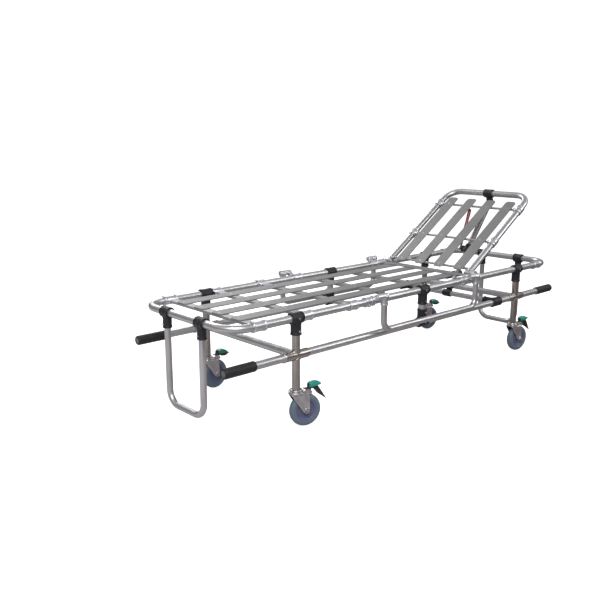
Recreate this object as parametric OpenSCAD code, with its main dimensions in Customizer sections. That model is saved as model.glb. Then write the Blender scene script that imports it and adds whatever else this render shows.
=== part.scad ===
// Ambulance cot: a low four-caster trolley with a tubular bed frame, a raised backrest on a
// telescopic strut, carrying poles, fold-down side guards and swing-up end stands.
// Millimetres. The origin is on the floor under the middle of the cot. +X points to the head
// end, +Z is up, and the patient's left side is -Y.

/* [Bed frame] */
// Half the distance between the two side rails' centrelines
half_w = 280; // [260:1:300]
// Height of the side rails' centreline
rail_z = 418; // [400:1:440]
// Height of the carrying poles' centreline
pole_z = 278; // [268:1:288]
// Distance from the middle of the cot to each end bow's centreline
bow_x = 1024; // [1010:1:1030]
// Bend radius of the end bows, on the centreline
bow_r = 90; // [70:1:110]
// Distance from the middle of the cot to each leg
leg_x = 729; // [720:1:735]
// Distance from the middle of the cot to each pole tip
tip_x = 1060; // [1055:1:1080]

/* [Tubes] */
// Outer diameter of the side rails and end bows
rail_d = 30; // [28:1:32]
// Outer diameter of the carrying poles, leg posts and leg cross tubes
pole_d = 30; // [28:1:32]
// Outer diameter of the backrest frame
back_d = 30; // [28:1:32]
// Outer diameter of the end stands and the strut cross tube
stand_d = 25; // [22:1:26]
// Outer diameter of the side guards
guard_d = 25; // [22:1:26]
// Wall thickness of all the tubes
wall = 2; // [1.5:0.5:3]

/* [Bed deck] */
// Positions of the cross bars along the cot, from the foot end
bar_x = [-905, -679, -436, -180, 60, 347];
// Width of a deck slat
slat_w = 60; // [50:1:64]
// Distance between the centrelines of neighbouring slats
slat_pitch = 115; // [110:1:120]

/* [Backrest] */
// Angle of the backrest above the horizontal
tilt = 33.4; // [20:0.1:40]
// Distance from the hinge line to the top tube
back_len = 595; // [570:1:600]
// Half the distance between the backrest's side tubes
back_half_w = 240; // [230:1:242]

/* [Casters] */
// Diameter of the wheels
wheel_d = 125; // [100:1:125]
// Width of the tyres
tyre_w = 30; // [26:1:32]
// Distance from the swivel axis to the wheel axle
trail = 36; // [30:1:40]
// Swivel angle of the caster at the foot end, left side
turn_foot_left = -16.7; // [-17:0.1:17]
// Swivel angle of the caster at the foot end, right side
turn_foot_right = 3.6; // [-17:0.1:17]
// Swivel angle of the caster at the head end, left side
turn_head_left = -8.3; // [-17:0.1:17]
// Swivel angle of the caster at the head end, right side
turn_head_right = -9.9; // [-17:0.1:17]

/* [Hidden] */
$fn = 64;

gap = 0.1;            // added to the diameter of every hole that a tube or pin runs in
eps = 1;              // how far a cutter reaches past a face
coupler_x = 905;      // joint between a side rail and an end bow
clamp_l = 52;         // length of a T-clamp's collar
clamp_drop = 62;      // from a T-clamp's tube to the end of its neck
clamp_neck_d = 40;
stand_neck_d = 34;
post_top = rail_z - rail_d / 2 - 1;
screw_d = 9;          // clamp screw heads
screw_sunk = 4;
screw_proud = 2;
screw_above = 14;     // from the end of a clamp's neck to its screw

slat_t = 4;
slat_top = 428;
slat_y = [-1.5 * slat_pitch, -0.5 * slat_pitch, 0.5 * slat_pitch, 1.5 * slat_pitch];
slat_start = -925;
slat_end = 364;
slat_cut = 10;        // cut corners at the slats' ends
bar_h = 10;
bar_w = 36;
bar_top = slat_top - slat_t;
bar_end = 256;        // end of a bar that is held by the side rails
free_bar_end = 210;   // end of a bar that is held by the slats alone
held_bars = 3;        // the first bars reach the side rails
last = len(bar_x) - 1;
end_bar_t = 4;        // the wide bar on top of the slats, beside the backrest hinge
end_bar_w = 58;
end_bar_half = 218;
end_tongue_w = 26;    // its narrow ends
end_tee_l = 34;
tee_l = 44;
tee_d = rail_d + 7;
boss_in = 246;        // inner end of the boss that holds a cross bar
coupler_l = 56;
rivet_d = 6;
rivet_head_d = 11;
rivet_head_t = 1.3;

sleeve_half = 56;     // half the length of the leg sleeve that a pole runs through
sleeve_wall = 2.5;
cross_x = 560;        // cross tube that carries the foot of the strut
grip_len = 135;
grip_d = 38;
ring_x = -leg_x - sleeve_half - 5; // stop ring on each pole

guard_left_x = [-293, 330];  // arms of the left side guard
guard_right_x = [-269, 354]; // arms of the right side guard
guard_left_dir = [-1, -1];   // side of each arm on which its bracket lies
guard_right_dir = [1, -1];
guard_y = 320;
guard_pivot_z = 440;
guard_low_z = 300;
guard_r = 40;
guard_inset = 14;     // from the guard's pivot to the end of its tube
elbow_w = 32;
elbow_drop = 36;
lug_d = 24;
lug_x = [17, 46];
bracket_x = [25, 73]; // sleeve of a guard bracket, from the guard's arm
web_x = [26, 44];
pin_d = 8;
pin_head_d = 14;

bracket_d = rail_d + 8; // sleeves of the guard and hinge brackets
lip_d = rail_d + 11;
lip_w = 5;
hinge_x = 385;
hinge_z = 433;
hinge_half = 20;      // half the length of a hinge bracket's sleeve
hub_d = 34;
hub_half = 15.5;      // half the width of the backrest's hinge hubs
back_r = 75;          // bend radius of the backrest's top corners
back_tee_half = 21;
rod_d = 11;
rod_u = [30, 228, 480];
back_slat_w = 56;
back_slat_u = [8, 529];

crown = [hinge_x + back_len * cos(tilt), 0, hinge_z + back_len * sin(tilt)]; // top tube
neck = [14, 0, -44];  // from the top tube to the upper end of the strut
top = crown + neck;
foot = [cross_x, 0, pole_z];
strut_len = norm(top - foot);
strut_lean = atan2(top.x - foot.x, top.z - foot.z);
strut_d = 28;
socket_l = 30;        // socket for the strut's tube
tube_s = 3;           // distance from the strut's upper end to its outer tube
rod_s = 230;          // distance from the strut's upper end to the inner rod
rod_inner_d = 20;
head_s = 306;         // distance from the strut's upper end to the release head
foot_gap = 3;         // clearance between the strut's foot and its collar
foot_seat = 12;       // depth of solid plastic under the inner rod
collar_d = 36;
lever_y = 51;
lever_z = 13;         // height of the lever's pivot in the release head
lever_len = 212;
lever_splay = 17.6;   // angle between the release lever and the strut
lever_pin_d = 7;
lever_rod_d = 8;
lever_grip_l = 100;
lever_grip_d = 17;

stand_y = 111;        // arms of an end stand
stand_low_z = 62;
stand_r = 55;
stand_clamp_l = 46;

wheel_r = wheel_d / 2;
hub_r = 44;
axle_d = 8;
post_low = 147;
stem_d = pole_d - 2 * wall - gap;
swivel_pin_d = 12;
disc_d = 58;
disc_low = 131;
bridge_low = 128;
cheek_in = 18.5;
cheek_t = 3;
tab_y = 12;           // the fork's tabs that carry the pedal
tab_t = 3;
pedal_u = 50;         // pedal pivot, measured from the swivel axis
pedal_z = 138;
pedal_press = 12;     // turn of a pedal that is pressed down

// ---- shared shapes ----

module along_x(x0, x1, y, z, d) {
    translate([x0, y, z]) rotate([0, 90, 0]) cylinder(d = d, h = x1 - x0);
}

module along_y(y0, y1, x, z, d) {
    translate([x, y0, z]) rotate([-90, 0, 0]) cylinder(d = d, h = y1 - y0);
}

module tube_x(x0, x1, y, z, d) {
    difference() {
        along_x(x0, x1, y, z, d);
        along_x(x0 - eps, x1 + eps, y, z, d - 2 * wall);
    }
}

module tube_y(y0, y1, x, z, d) {
    difference() {
        along_y(y0, y1, x, z, d);
        along_y(y0 - eps, y1 + eps, x, z, d - 2 * wall);
    }
}

// Calls its children for the left side and mirrors them to the right side.
module both_sides() {
    children();
    mirror([0, 1, 0]) children();
}

// Solid U in the XY plane: two arms from x = 0 to x = reach at y = +-half, joined by round
// corners and a crossing bar.
module u_rod(reach, half, r, d) {
    for (s = [-1, 1]) {
        along_x(0, reach - r, s * half, 0, d);
        translate([reach - r, s * (half - r), 0])
            rotate([0, 0, s > 0 ? 0 : -90])
                rotate_extrude(angle = 90) translate([r, 0]) circle(d = d);
    }
    along_y(-(half - r), half - r, reach, 0, d);
}

// The same U as a tube, open at the ends of its arms.
module u_tube(reach, half, r, d) {
    difference() {
        u_rod(reach, half, r, d);
        u_rod(reach, half, r, d - 2 * wall);
        for (s = [-1, 1]) along_x(-eps, eps, s * half, 0, d - 2 * wall);
    }
}

// T-clamp: a collar along X round a run_d tube, with a neck down to a branch_d tube.
module t_clamp(run_d, branch_d, length, neck_d, drop, screws) {
    collar = run_d / 2 + 6;
    difference() {
        union() {
            along_x(-length / 2, length / 2, 0, 0, 2 * collar);
            for (s = [-1, 1]) along_x(s * (length / 2 - 2) - 2, s * (length / 2 - 2) + 2, 0, 0, 2 * collar + 1);
            translate([0, 0, -drop]) cylinder(d = neck_d, h = drop);
            translate([0, 0, -drop]) cylinder(d = neck_d + 1.5, h = 4);
        }
        along_x(-length / 2 - eps, length / 2 + eps, 0, 0, run_d + gap);
        translate([0, 0, -drop - eps]) cylinder(d = branch_d + gap, h = drop + eps);
        if (screws) {
            along_y(-collar - eps, -collar + screw_sunk, 0, 0, screw_d + gap);
            along_y(-neck_d / 2 - eps, -neck_d / 2 + screw_sunk, 0, -drop + screw_above, screw_d + gap);
        }
    }
}

module screw_head() {
    difference() {
        cylinder(d = screw_d, h = screw_sunk + screw_proud);
        translate([0, 0, screw_sunk]) cylinder(d = 4, h = screw_proud + eps, $fn = 6);
    }
}

// The two screws of a T-clamp that stands at the origin.
module t_clamp_screws(run_d, neck_d, drop) {
    translate([0, -(run_d / 2 + 6 - screw_sunk), 0]) rotate([90, 0, 0]) screw_head();
    translate([0, -(neck_d / 2 - screw_sunk), -drop + screw_above]) rotate([90, 0, 0]) screw_head();
}

// Flat slat along X, from x0 to x1, its top face at z = 0, with corners cut at both ends.
module slat(x0, x1, w) {
    c = slat_cut;
    translate([0, 0, -slat_t]) linear_extrude(slat_t)
        polygon([[x0, c - w / 2], [x0 + c, -w / 2], [x1 - c, -w / 2], [x1, c - w / 2],
            [x1, w / 2 - c], [x1 - c, w / 2], [x0 + c, w / 2], [x0, w / 2 - c]]);
}

// Flush rivet with the top of its head at z = 0 and its shank down to z = -length.
module rivet(length) {
    translate([0, 0, -length]) cylinder(d = rivet_d, h = length);
    translate([0, 0, -rivet_head_t]) cylinder(d = rivet_head_d, h = rivet_head_t);
}

// Cutter for a flush rivet whose head is at z = 0.
module rivet_hole(length) {
    translate([0, 0, -length - eps]) cylinder(d = rivet_d + gap, h = length);
    translate([0, 0, -rivet_head_t - gap / 2]) cylinder(d = rivet_head_d + gap, h = rivet_head_t + eps);
}

// ---- bed frame ----

module rail_left() {
    color("silver") tube_x(-coupler_x, coupler_x, -half_w, rail_z, rail_d);
}

module rail_right() {
    color("silver") tube_x(-coupler_x, coupler_x, half_w, rail_z, rail_d);
}

module foot_bow() {
    color("silver") translate([-coupler_x, 0, rail_z]) mirror([1, 0, 0])
        u_tube(bow_x - coupler_x, half_w, bow_r, rail_d);
}

module head_bow() {
    color("silver") translate([coupler_x, 0, rail_z]) u_tube(bow_x - coupler_x, half_w, bow_r, rail_d);
}

// Sleeve along X round a side rail, with a raised ring at each end.
module rail_sleeve(length) {
    along_x(-length / 2, length / 2, 0, 0, tee_d);
    for (s = [-1, 1]) along_x(s * (length / 2 - 3.5) - 3.5, s * (length / 2 - 3.5) + 3.5, 0, 0, tee_d + 4);
}

// Boss that points to the middle of the cot, with a slot for a bar of width w whose underside
// is z above the rail's centreline.
module bar_boss(w, z, t) {
    translate([-w / 2 - 4, 0, z - 3]) cube([w + 8, half_w - boss_in, t + 6]);
}

module bar_slot(w, z, t) {
    translate([-w / 2 - gap / 2, rail_d / 2, z - gap / 2]) cube([w + gap, half_w - rail_d / 2, t + gap]);
}

module rail_tee(length, w, z, t) {
    difference() {
        union() {
            rail_sleeve(length);
            bar_boss(w, z, t);
        }
        along_x(-length, length, 0, 0, rail_d + gap);
        bar_slot(w, z, t);
    }
}

module rail_couplers() {
    color("gainsboro") both_sides() {
        translate([-coupler_x, -half_w, rail_z]) rail_tee(coupler_l, bar_w, bar_top - bar_h - rail_z, bar_h);
        translate([coupler_x, -half_w, rail_z]) difference() {
            rail_sleeve(coupler_l);
            along_x(-coupler_l, coupler_l, 0, 0, rail_d + gap);
        }
    }
}

module cross_tees() {
    color("gainsboro") both_sides() {
        for (i = [1 : held_bars - 1]) translate([bar_x[i], -half_w, rail_z])
            rail_tee(tee_l, bar_w, bar_top - bar_h - rail_z, bar_h);
        translate([bar_x[last], -half_w, rail_z])
            rail_tee(end_tee_l, end_tongue_w, slat_top - rail_z, end_bar_t);
    }
}

module cross_bars() {
    color("darkgray") {
        for (i = [0 : last - 1]) difference() {
            reach = i < held_bars ? bar_end : free_bar_end;
            translate([bar_x[i] - bar_w / 2, -reach, bar_top - bar_h]) cube([bar_w, 2 * reach, bar_h]);
            for (y = slat_y) translate([bar_x[i], y, slat_top]) rivet_hole(slat_t + bar_h);
        }
        difference() {
            for (size = [[end_bar_w, end_bar_half], [end_tongue_w, bar_end]])
                translate([bar_x[last] - size[0] / 2, -size[1], slat_top]) cube([size[0], 2 * size[1], end_bar_t]);
            for (y = slat_y) translate([bar_x[last], y, slat_top + end_bar_t]) rivet_hole(end_bar_t);
        }
    }
}

module bed_slats() {
    color("darkgray") for (y = slat_y)
        difference() {
            translate([0, y, slat_top]) slat(slat_start, slat_end, slat_w);
            for (i = [0 : last - 1]) translate([bar_x[i], y, slat_top]) rivet_hole(slat_t);
            translate([bar_x[last], y, slat_top - slat_t - eps]) cylinder(d = rivet_d + gap, h = slat_t + 2 * eps);
        }
}

module slat_rivets() {
    color("silver") for (y = slat_y) {
        for (i = [0 : last - 1]) translate([bar_x[i], y, slat_top]) rivet(slat_t + bar_h);
        translate([bar_x[last], y, slat_top + end_bar_t]) rivet(slat_t + end_bar_t);
    }
}

// ---- legs, poles and lower tubes ----

module leg_posts() {
    color("rosybrown") both_sides() for (s = [-1, 1])
        translate([s * leg_x, -half_w, 0])
            difference() {
                union() {
                    translate([0, 0, post_low]) cylinder(d = pole_d, h = post_top - post_low);
                    along_x(-sleeve_half, sleeve_half, 0, pole_z, pole_d + 2 * sleeve_wall);
                }
                along_x(-sleeve_half - eps, sleeve_half + eps, 0, pole_z, pole_d + gap);
                translate([0, 0, post_low - eps])
                    cylinder(d = pole_d - 2 * wall, h = post_top - post_low + 2 * eps);
            }
}

module leg_clamps() {
    color("#202024") both_sides() for (s = [-1, 1])
        translate([s * leg_x, -half_w, rail_z])
            t_clamp(rail_d, pole_d, clamp_l, clamp_neck_d, clamp_drop, true);
}

module mid_posts() {
    low = pole_z + pole_d / 2 + 1;
    color("silver") both_sides()
        translate([0, -half_w, low]) difference() {
            cylinder(d = pole_d, h = post_top - low);
            translate([0, 0, -eps]) cylinder(d = pole_d - 2 * wall, h = post_top - low + 2 * eps);
        }
}

module mid_clamps() {
    color("#202024") both_sides() {
        translate([0, -half_w, rail_z]) t_clamp(rail_d, pole_d, clamp_l, clamp_neck_d, clamp_drop, true);
        translate([0, -half_w, pole_z]) mirror([0, 0, 1])
            t_clamp(pole_d, pole_d, clamp_l, clamp_neck_d, clamp_drop - 6, true);
    }
}

module clamp_screws() {
    color("gray") both_sides() {
        for (x = [-leg_x, 0, leg_x])
            translate([x, -half_w, rail_z]) t_clamp_screws(rail_d, clamp_neck_d, clamp_drop);
        translate([0, -half_w, pole_z]) mirror([0, 0, 1]) t_clamp_screws(pole_d, clamp_neck_d, clamp_drop - 6);
    }
}

module pole() {
    difference() {
        union() {
            along_x(-tip_x + 5, tip_x - 5, 0, 0, pole_d);
            along_x(ring_x - 4, ring_x + 4, 0, 0, pole_d + 7);
        }
        along_x(-tip_x, tip_x, 0, 0, pole_d - 2 * wall);
    }
}

module pole_left() {
    color("silver") translate([0, -half_w, pole_z]) pole();
}

module pole_right() {
    color("silver") translate([0, half_w, pole_z]) pole();
}

// Rubber grip with its closed, rounded end at x = tip_x.
module pole_grip() {
    end_r = 6;
    translate([tip_x - grip_len, 0, 0]) rotate([0, 90, 0]) difference() {
        rotate_extrude() {
            square([grip_d / 2, grip_len - end_r]);
            square([grip_d / 2 - end_r, grip_len]);
            translate([grip_d / 2 - end_r, grip_len - end_r]) circle(r = end_r);
        }
        translate([0, 0, -eps]) cylinder(d = pole_d + gap, h = grip_len - 5 + eps);
    }
}

module pole_grips() {
    color("#1c1c1e") both_sides() {
        translate([0, -half_w, pole_z]) pole_grip();
        translate([0, -half_w, pole_z]) mirror([1, 0, 0]) pole_grip();
    }
}

module lower_cross_tubes() {
    reach = half_w - pole_d / 2 - sleeve_wall - gap;
    color("silver") {
        for (s = [-1, 1]) tube_y(-reach, reach, s * leg_x, pole_z, pole_d);
        tube_y(-(half_w - pole_d / 2 - 1), half_w - pole_d / 2 - 1, cross_x, pole_z, stand_d);
    }
}

module cross_tube_clamps() {
    color("#202024") both_sides()
        translate([cross_x, -half_w, pole_z]) rotate([90, 0, 0])
            t_clamp(pole_d, stand_d, 60, stand_neck_d, clamp_drop, false);
}

module strut_foot_collar() {
    color("#202024") difference() {
        along_y(-22, 22, cross_x, pole_z, collar_d);
        along_y(-24, 24, cross_x, pole_z, stand_d + gap);
    }
}

// ---- side guards ----

module guard_bracket(x, dir) {
    out = guard_y - half_w;
    rise = guard_pivot_z - rail_z;
    translate([x, -half_w, rail_z]) mirror([dir < 0 ? 1 : 0, 0, 0])
        difference() {
            union() {
                along_x(bracket_x[0], bracket_x[1], 0, 0, bracket_d);
                along_x(bracket_x[0], bracket_x[0] + lip_w, 0, 0, lip_d);
                along_x(bracket_x[1] - lip_w, bracket_x[1], 0, 0, lip_d);
                translate([web_x[0], 0, 0]) rotate([atan2(rise, -out), 0, 0]) translate([0, 0, -9])
                    cube([web_x[1] - web_x[0], norm([out, rise]), 18]);
                along_x(lug_x[0], lug_x[1], -out, rise, lug_d);
            }
            along_x(0, bracket_x[1] + eps, 0, 0, rail_d + gap);
            along_x(0, bracket_x[1] + eps, -out, rise, pin_d + gap);
        }
}

module guard_brackets() {
    color("gainsboro") for (i = [0, 1]) {
        guard_bracket(guard_left_x[i], guard_left_dir[i]);
        mirror([0, 1, 0]) guard_bracket(guard_right_x[i], guard_right_dir[i]);
    }
}

module guard(arms) {
    tube_top = guard_pivot_z - guard_inset;
    translate([(arms[0] + arms[1]) / 2, -guard_y, tube_top]) rotate([0, 0, -90]) rotate([0, 90, 0])
        u_tube(tube_top - guard_low_z, (arms[1] - arms[0]) / 2, guard_r, guard_d);
}

module guard_left() {
    color("silver") guard(guard_left_x);
}

module guard_right() {
    color("silver") mirror([0, 1, 0]) guard(guard_right_x);
}

module guard_elbows(arms) {
    for (x = arms) translate([x, -guard_y, guard_pivot_z]) difference() {
        union() {
            along_x(-elbow_w / 2, elbow_w / 2, 0, 0, lug_d);
            translate([0, 0, -elbow_drop]) cylinder(d = guard_d + 6, h = elbow_drop);
        }
        along_x(-elbow_w, elbow_w, 0, 0, pin_d + gap);
        translate([0, 0, -elbow_drop - eps]) cylinder(d = guard_d + gap, h = elbow_drop - guard_inset + eps + gap);
    }
}

module guard_elbows_left() {
    color("gainsboro") guard_elbows(guard_left_x);
}

module guard_elbows_right() {
    color("gainsboro") mirror([0, 1, 0]) guard_elbows(guard_right_x);
}

// ---- backrest ----

module hinge_brackets() {
    color("gainsboro") both_sides() difference() {
        union() {
            translate([hinge_x, -half_w, rail_z]) {
                along_x(-hinge_half, hinge_half, 0, 0, bracket_d);
                along_x(-hinge_half, lip_w - hinge_half, 0, 0, lip_d);
                along_x(hinge_half - lip_w, hinge_half, 0, 0, lip_d);
            }
            along_y(-half_w, -(back_half_w + back_d / 2 + 2), hinge_x, hinge_z, hub_d);
        }
        along_x(hinge_x - hinge_half - eps, hinge_x + hinge_half + eps, -half_w, rail_z, rail_d + gap);
        along_y(-half_w, -back_half_w, hinge_x, hinge_z, pin_d + gap);
    }
}

module guard_pin(x, dir) {
    head = -elbow_w / 2 - 1;
    translate([x, -guard_y, guard_pivot_z]) mirror([dir < 0 ? 1 : 0, 0, 0]) {
        along_x(head, lug_x[1] - 2, 0, 0, pin_d);
        along_x(head - 4, head, 0, 0, pin_head_d);
    }
}

module pivot_pins() {
    head = back_half_w - hub_half - 0.5;
    color("dimgray") {
        for (i = [0, 1]) {
            guard_pin(guard_left_x[i], guard_left_dir[i]);
            mirror([0, 1, 0]) guard_pin(guard_right_x[i], guard_right_dir[i]);
        }
        both_sides() {
            along_y(-(half_w - 15), -head, hinge_x, hinge_z, pin_d);
            along_y(-head, 4 - head, hinge_x, hinge_z, pin_head_d);
        }
    }
}

// Places children in the backrest's own frame: X from the hinge up the backrest, Z out of it.
module on_backrest() {
    translate([hinge_x, 0, hinge_z]) rotate([0, -tilt, 0]) children();
}

module backrest_frame() {
    color("silver") on_backrest() difference() {
        union() {
            u_tube(back_len, back_half_w, back_r, back_d);
            for (s = [-1, 1]) along_y(s * back_half_w - hub_half, s * back_half_w + hub_half, 0, 0, hub_d);
        }
        along_y(-half_w, half_w, 0, 0, pin_d + gap);
    }
}

module backrest_tees() {
    h = back_tee_half;
    color("gainsboro") on_backrest() both_sides() for (u = [rod_u[1], rod_u[2]])
        translate([u, -back_half_w, 0]) difference() {
            union() {
                along_x(-h, h, 0, 0, back_d + 6);
                along_x(-h, lip_w - h, 0, 0, back_d + 9);
                along_x(h - lip_w, h, 0, 0, back_d + 9);
                along_y(0, back_d, 0, 0, rod_d + 8);
            }
            along_x(-h - eps, h + eps, 0, 0, back_d + gap);
            along_y(0, back_d + eps, 0, 0, rod_d + gap);
        }
}

module backrest_rods() {
    reach = back_half_w - back_d / 2 - gap;
    color("silver") on_backrest() for (u = rod_u) along_y(-reach, reach, u, 0, rod_d);
}

module backrest_slats() {
    color("darkgray") on_backrest() for (y = slat_y)
        difference() {
            translate([0, y, rod_d / 2 + slat_t]) slat(back_slat_u[0], back_slat_u[1], back_slat_w);
            for (u = rod_u) translate([u, y, rod_d / 2 + slat_t]) rivet_hole(slat_t);
        }
}

module backrest_rivets() {
    color("silver") on_backrest() for (u = rod_u, y = slat_y)
        translate([u, y, rod_d / 2 + slat_t]) rivet(slat_t);
}

// ---- strut ----

// Places children in the strut's own frame: its upper end at the origin, the foot down -Z.
module on_strut() {
    translate(top) rotate([0, strut_lean, 0]) children();
}

module strut_top_clamp() {
    color("#202024") difference() {
        union() {
            translate(crown) {
                along_y(-24, 24, 0, 0, back_d + 12);
                rotate([0, atan2(neck.x, neck.z), 0]) cylinder(d = strut_d + 6, h = norm(neck));
            }
            on_strut() {
                sphere(d = strut_d + 8);
                translate([0, 0, -socket_l]) cylinder(d = strut_d + 8, h = socket_l);
            }
        }
        translate(crown) along_y(-30, 30, 0, 0, back_d + gap);
        on_strut() translate([0, 0, -socket_l - eps])
            cylinder(d = strut_d + gap, h = socket_l + eps - tube_s + gap);
    }
}

module strut_outer_tube() {
    color("silver") on_strut() translate([0, 0, -head_s]) difference() {
        cylinder(d = strut_d, h = head_s - tube_s);
        translate([0, 0, -eps]) cylinder(d = rod_inner_d + gap, h = head_s);
    }
}

module release_head() {
    block_y = lever_y - 11;
    color("#2a2a2c") on_strut() translate([0, 0, -head_s]) difference() {
        union() {
            translate([0, 0, -12]) cylinder(d = strut_d + 10, h = 50);
            translate([-14, 0, 0]) cube([28, block_y, 2 * lever_z]);
            along_y(0, lever_y + 1, 0, lever_z, lever_pin_d);
        }
        translate([0, 0, -12 - eps]) cylinder(d = rod_inner_d + gap, h = 20);
        cylinder(d = strut_d + gap, h = 60);
    }
}

module strut_inner_rod() {
    low = strut_len - collar_d / 2 - foot_gap - foot_seat;
    color("gainsboro") on_strut() translate([0, 0, -low]) cylinder(d = rod_inner_d, h = low - rod_s);
}

module strut_foot() {
    bottom = strut_len - collar_d / 2 - foot_gap;
    color("#202024") on_strut() translate([0, 0, -bottom]) difference() {
        union() {
            cylinder(d = 31, h = 44);
            cylinder(d = 33, h = 5);
        }
        translate([0, 0, foot_seat]) cylinder(d = rod_inner_d + gap, h = 44);
    }
}

// Places children at the lever's pivot, with Z along the lever.
module on_lever() {
    on_strut() translate([0, 0, lever_z - head_s]) rotate([0, -lever_splay, 0]) children();
}

module release_lever() {
    arm_l = 84;
    color("dimgray") on_lever() difference() {
        union() {
            along_y(lever_y - 10, lever_y - 2, 0, 0, lever_grip_d);
            translate([-6, lever_y - 9, 0]) cube([12, 6, arm_l]);
            translate([0, lever_y - 3, arm_l - 6]) cylinder(d = lever_rod_d, h = lever_len - arm_l);
        }
        along_y(lever_y - 11, lever_y, 0, 0, lever_pin_d + gap);
    }
}

module lever_grip() {
    color("#8c1024") on_lever() translate([0, lever_y - 3, lever_len - lever_grip_l - 5]) difference() {
        union() {
            cylinder(d = lever_grip_d, h = lever_grip_l);
            translate([0, 0, lever_grip_l - 3.5]) sphere(d = lever_grip_d);
        }
        translate([0, 0, -eps]) cylinder(d = lever_rod_d + gap, h = lever_grip_l - 0.5 + eps);
    }
}

// ---- end stands ----

// Stand for the head end: a U that hangs from the bow.
module end_stand() {
    tube_top = rail_z - 18;
    translate([bow_x, 0, tube_top]) rotate([0, 90, 0])
        u_tube(tube_top - stand_low_z, stand_y, stand_r, stand_d);
}

module end_stand_clamps() {
    drop = clamp_drop - 3;
    both_sides() translate([bow_x, -stand_y, rail_z]) rotate([0, 0, 90]) {
        t_clamp(rail_d, stand_d, stand_clamp_l, stand_neck_d, drop, false);
        translate([0, -13, screw_above - drop]) rotate([90, 0, 0]) cylinder(d = screw_d, h = 5);
    }
}

module foot_stand() {
    color("silver") mirror([1, 0, 0]) end_stand();
}

module foot_stand_clamps() {
    color("#202024") mirror([1, 0, 0]) end_stand_clamps();
}

module head_stand() {
    color("silver") end_stand();
}

module head_stand_clamps() {
    color("#202024") end_stand_clamps();
}

// ---- casters ----

// Each caster's children stand in its own frame: swivel axis at the origin, wheel towards +X.
module at_caster(x, y, turn) {
    translate([x, y, 0]) rotate([0, 0, turn]) children();
}

module caster_stems() {
    color("silver") both_sides() for (s = [-1, 1]) translate([s * leg_x, -half_w, 0]) {
        translate([0, 0, post_low - 5]) cylinder(d = 48, h = 5);
        cylinder_z(post_low - eps, post_low + 50, stem_d);
        cylinder_z(bridge_low - 2, post_low - 4, swivel_pin_d);
        cylinder_z(bridge_low - 6, bridge_low - 0.2, 20);
    }
}

module cylinder_z(z0, z1, d) {
    translate([0, 0, z0]) cylinder(d = d, h = z1 - z0);
}

// Fork side plate in the XZ plane: wide under the swivel disc, round at the axle.
module cheek(y) {
    end_r = 14;
    translate([0, y + cheek_t, 0]) rotate([90, 0, 0]) linear_extrude(cheek_t) {
        polygon([[-22, bridge_low + 3], [trail - end_r, wheel_r - 2], [trail + end_r, wheel_r],
            [trail + end_r, 112], [trail + 4, bridge_low + 3]]);
        translate([trail, wheel_r]) circle(r = end_r);
    }
}

module caster_fork() {
    difference() {
        union() {
            cheek(cheek_in);
            cheek(-cheek_in - cheek_t);
            translate([-22, -cheek_in - 1, bridge_low]) cube([trail + 26, 2 * cheek_in + 2, 3]);
            cylinder_z(disc_low - 0.5, post_low - 5.2, disc_d);
            along_y(-cheek_in - cheek_t - 5, cheek_in + cheek_t + 5, trail, wheel_r, axle_d);
            for (s = [-1, 1]) along_y(s * 24 - 2.5, s * 24 + 2.5, trail, wheel_r, 14);
            for (s = [-1, 1]) translate([30, s * tab_y - tab_t / 2, bridge_low])
                cube([pedal_u - 24, tab_t, pedal_z - bridge_low + 6]);
            translate([30, -tab_y - 1, bridge_low]) cube([pedal_u - 24, 2 * tab_y + 2, 3]);
            along_y(-tab_y - 1, tab_y + 1, pedal_u, pedal_z, 6);
        }
        cylinder_z(bridge_low - eps, post_low, swivel_pin_d + gap);
    }
}

module caster_hub() {
    translate([trail, 0, wheel_r]) rotate([90, 0, 0]) difference() {
        rotate_extrude() {
            translate([0, -14]) square([15, 28]);
            translate([0, -5]) square([hub_r - 0.05, 10]);
            translate([36, -11]) square([hub_r - 36.05, 22]);
            translate([22, -8]) square([3, 16]);
        }
        translate([0, 0, -20]) cylinder(d = axle_d + gap, h = 40);
    }
}

module caster_tyre() {
    shoulder = 9;
    translate([trail, 0, wheel_r]) rotate([90, 0, 0]) rotate_extrude() {
        translate([hub_r, -tyre_w / 2]) square([wheel_r - hub_r - shoulder, tyre_w]);
        translate([hub_r, -tyre_w / 2 + shoulder]) square([wheel_r - hub_r, tyre_w - 2 * shoulder]);
        for (s = [-1, 1]) translate([wheel_r - shoulder, s * (tyre_w / 2 - shoulder)]) circle(r = shoulder);
    }
}

// Plate of width w in the XZ plane, centred on the caster's middle plane.
module plate(w, points) {
    translate([0, w / 2, 0]) rotate([90, 0, 0]) linear_extrude(w) polygon(points);
}

// Brake pedal: a boss on the pivot, an arm, a broad cap and a pointed release tongue. A locked
// pedal is pressed down, with its tongue level.
module caster_pedal(locked) {
    difference() {
        union() {
            along_y(-9.5, 9.5, pedal_u, pedal_z, 14);
            translate([pedal_u, 0, pedal_z]) rotate([0, locked ? pedal_press : 0, 0]) {
                plate(18, [[-2, 6], [2, 26], [10, 22], [10, 8], [6, -3]]);
                plate(30, [[0, 12], [2, 25], [14, 32], [36, 31], [50, 23], [48, 18], [28, 13]]);
            }
            translate([pedal_u, 0, pedal_z])
                plate(12, locked ? [[4, 6], [28, 12], [44, 9], [74, 1], [42, -6], [20, -3]]
                    : [[4, 8], [36, 15], [46, -4], [78, -48], [40, -22], [22, 2]]);
        }
        along_y(-20, 20, pedal_u, pedal_z, 6 + gap);
    }
}

module fork_foot_left() {
    color("silver") at_caster(-leg_x, -half_w, turn_foot_left) caster_fork();
}

module hub_foot_left() {
    color("#7c7898") at_caster(-leg_x, -half_w, turn_foot_left) caster_hub();
}

module tyre_foot_left() {
    color("#59646f") at_caster(-leg_x, -half_w, turn_foot_left) caster_tyre();
}

module pedal_foot_left() {
    color("teal") at_caster(-leg_x, -half_w, turn_foot_left) caster_pedal(false);
}

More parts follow.
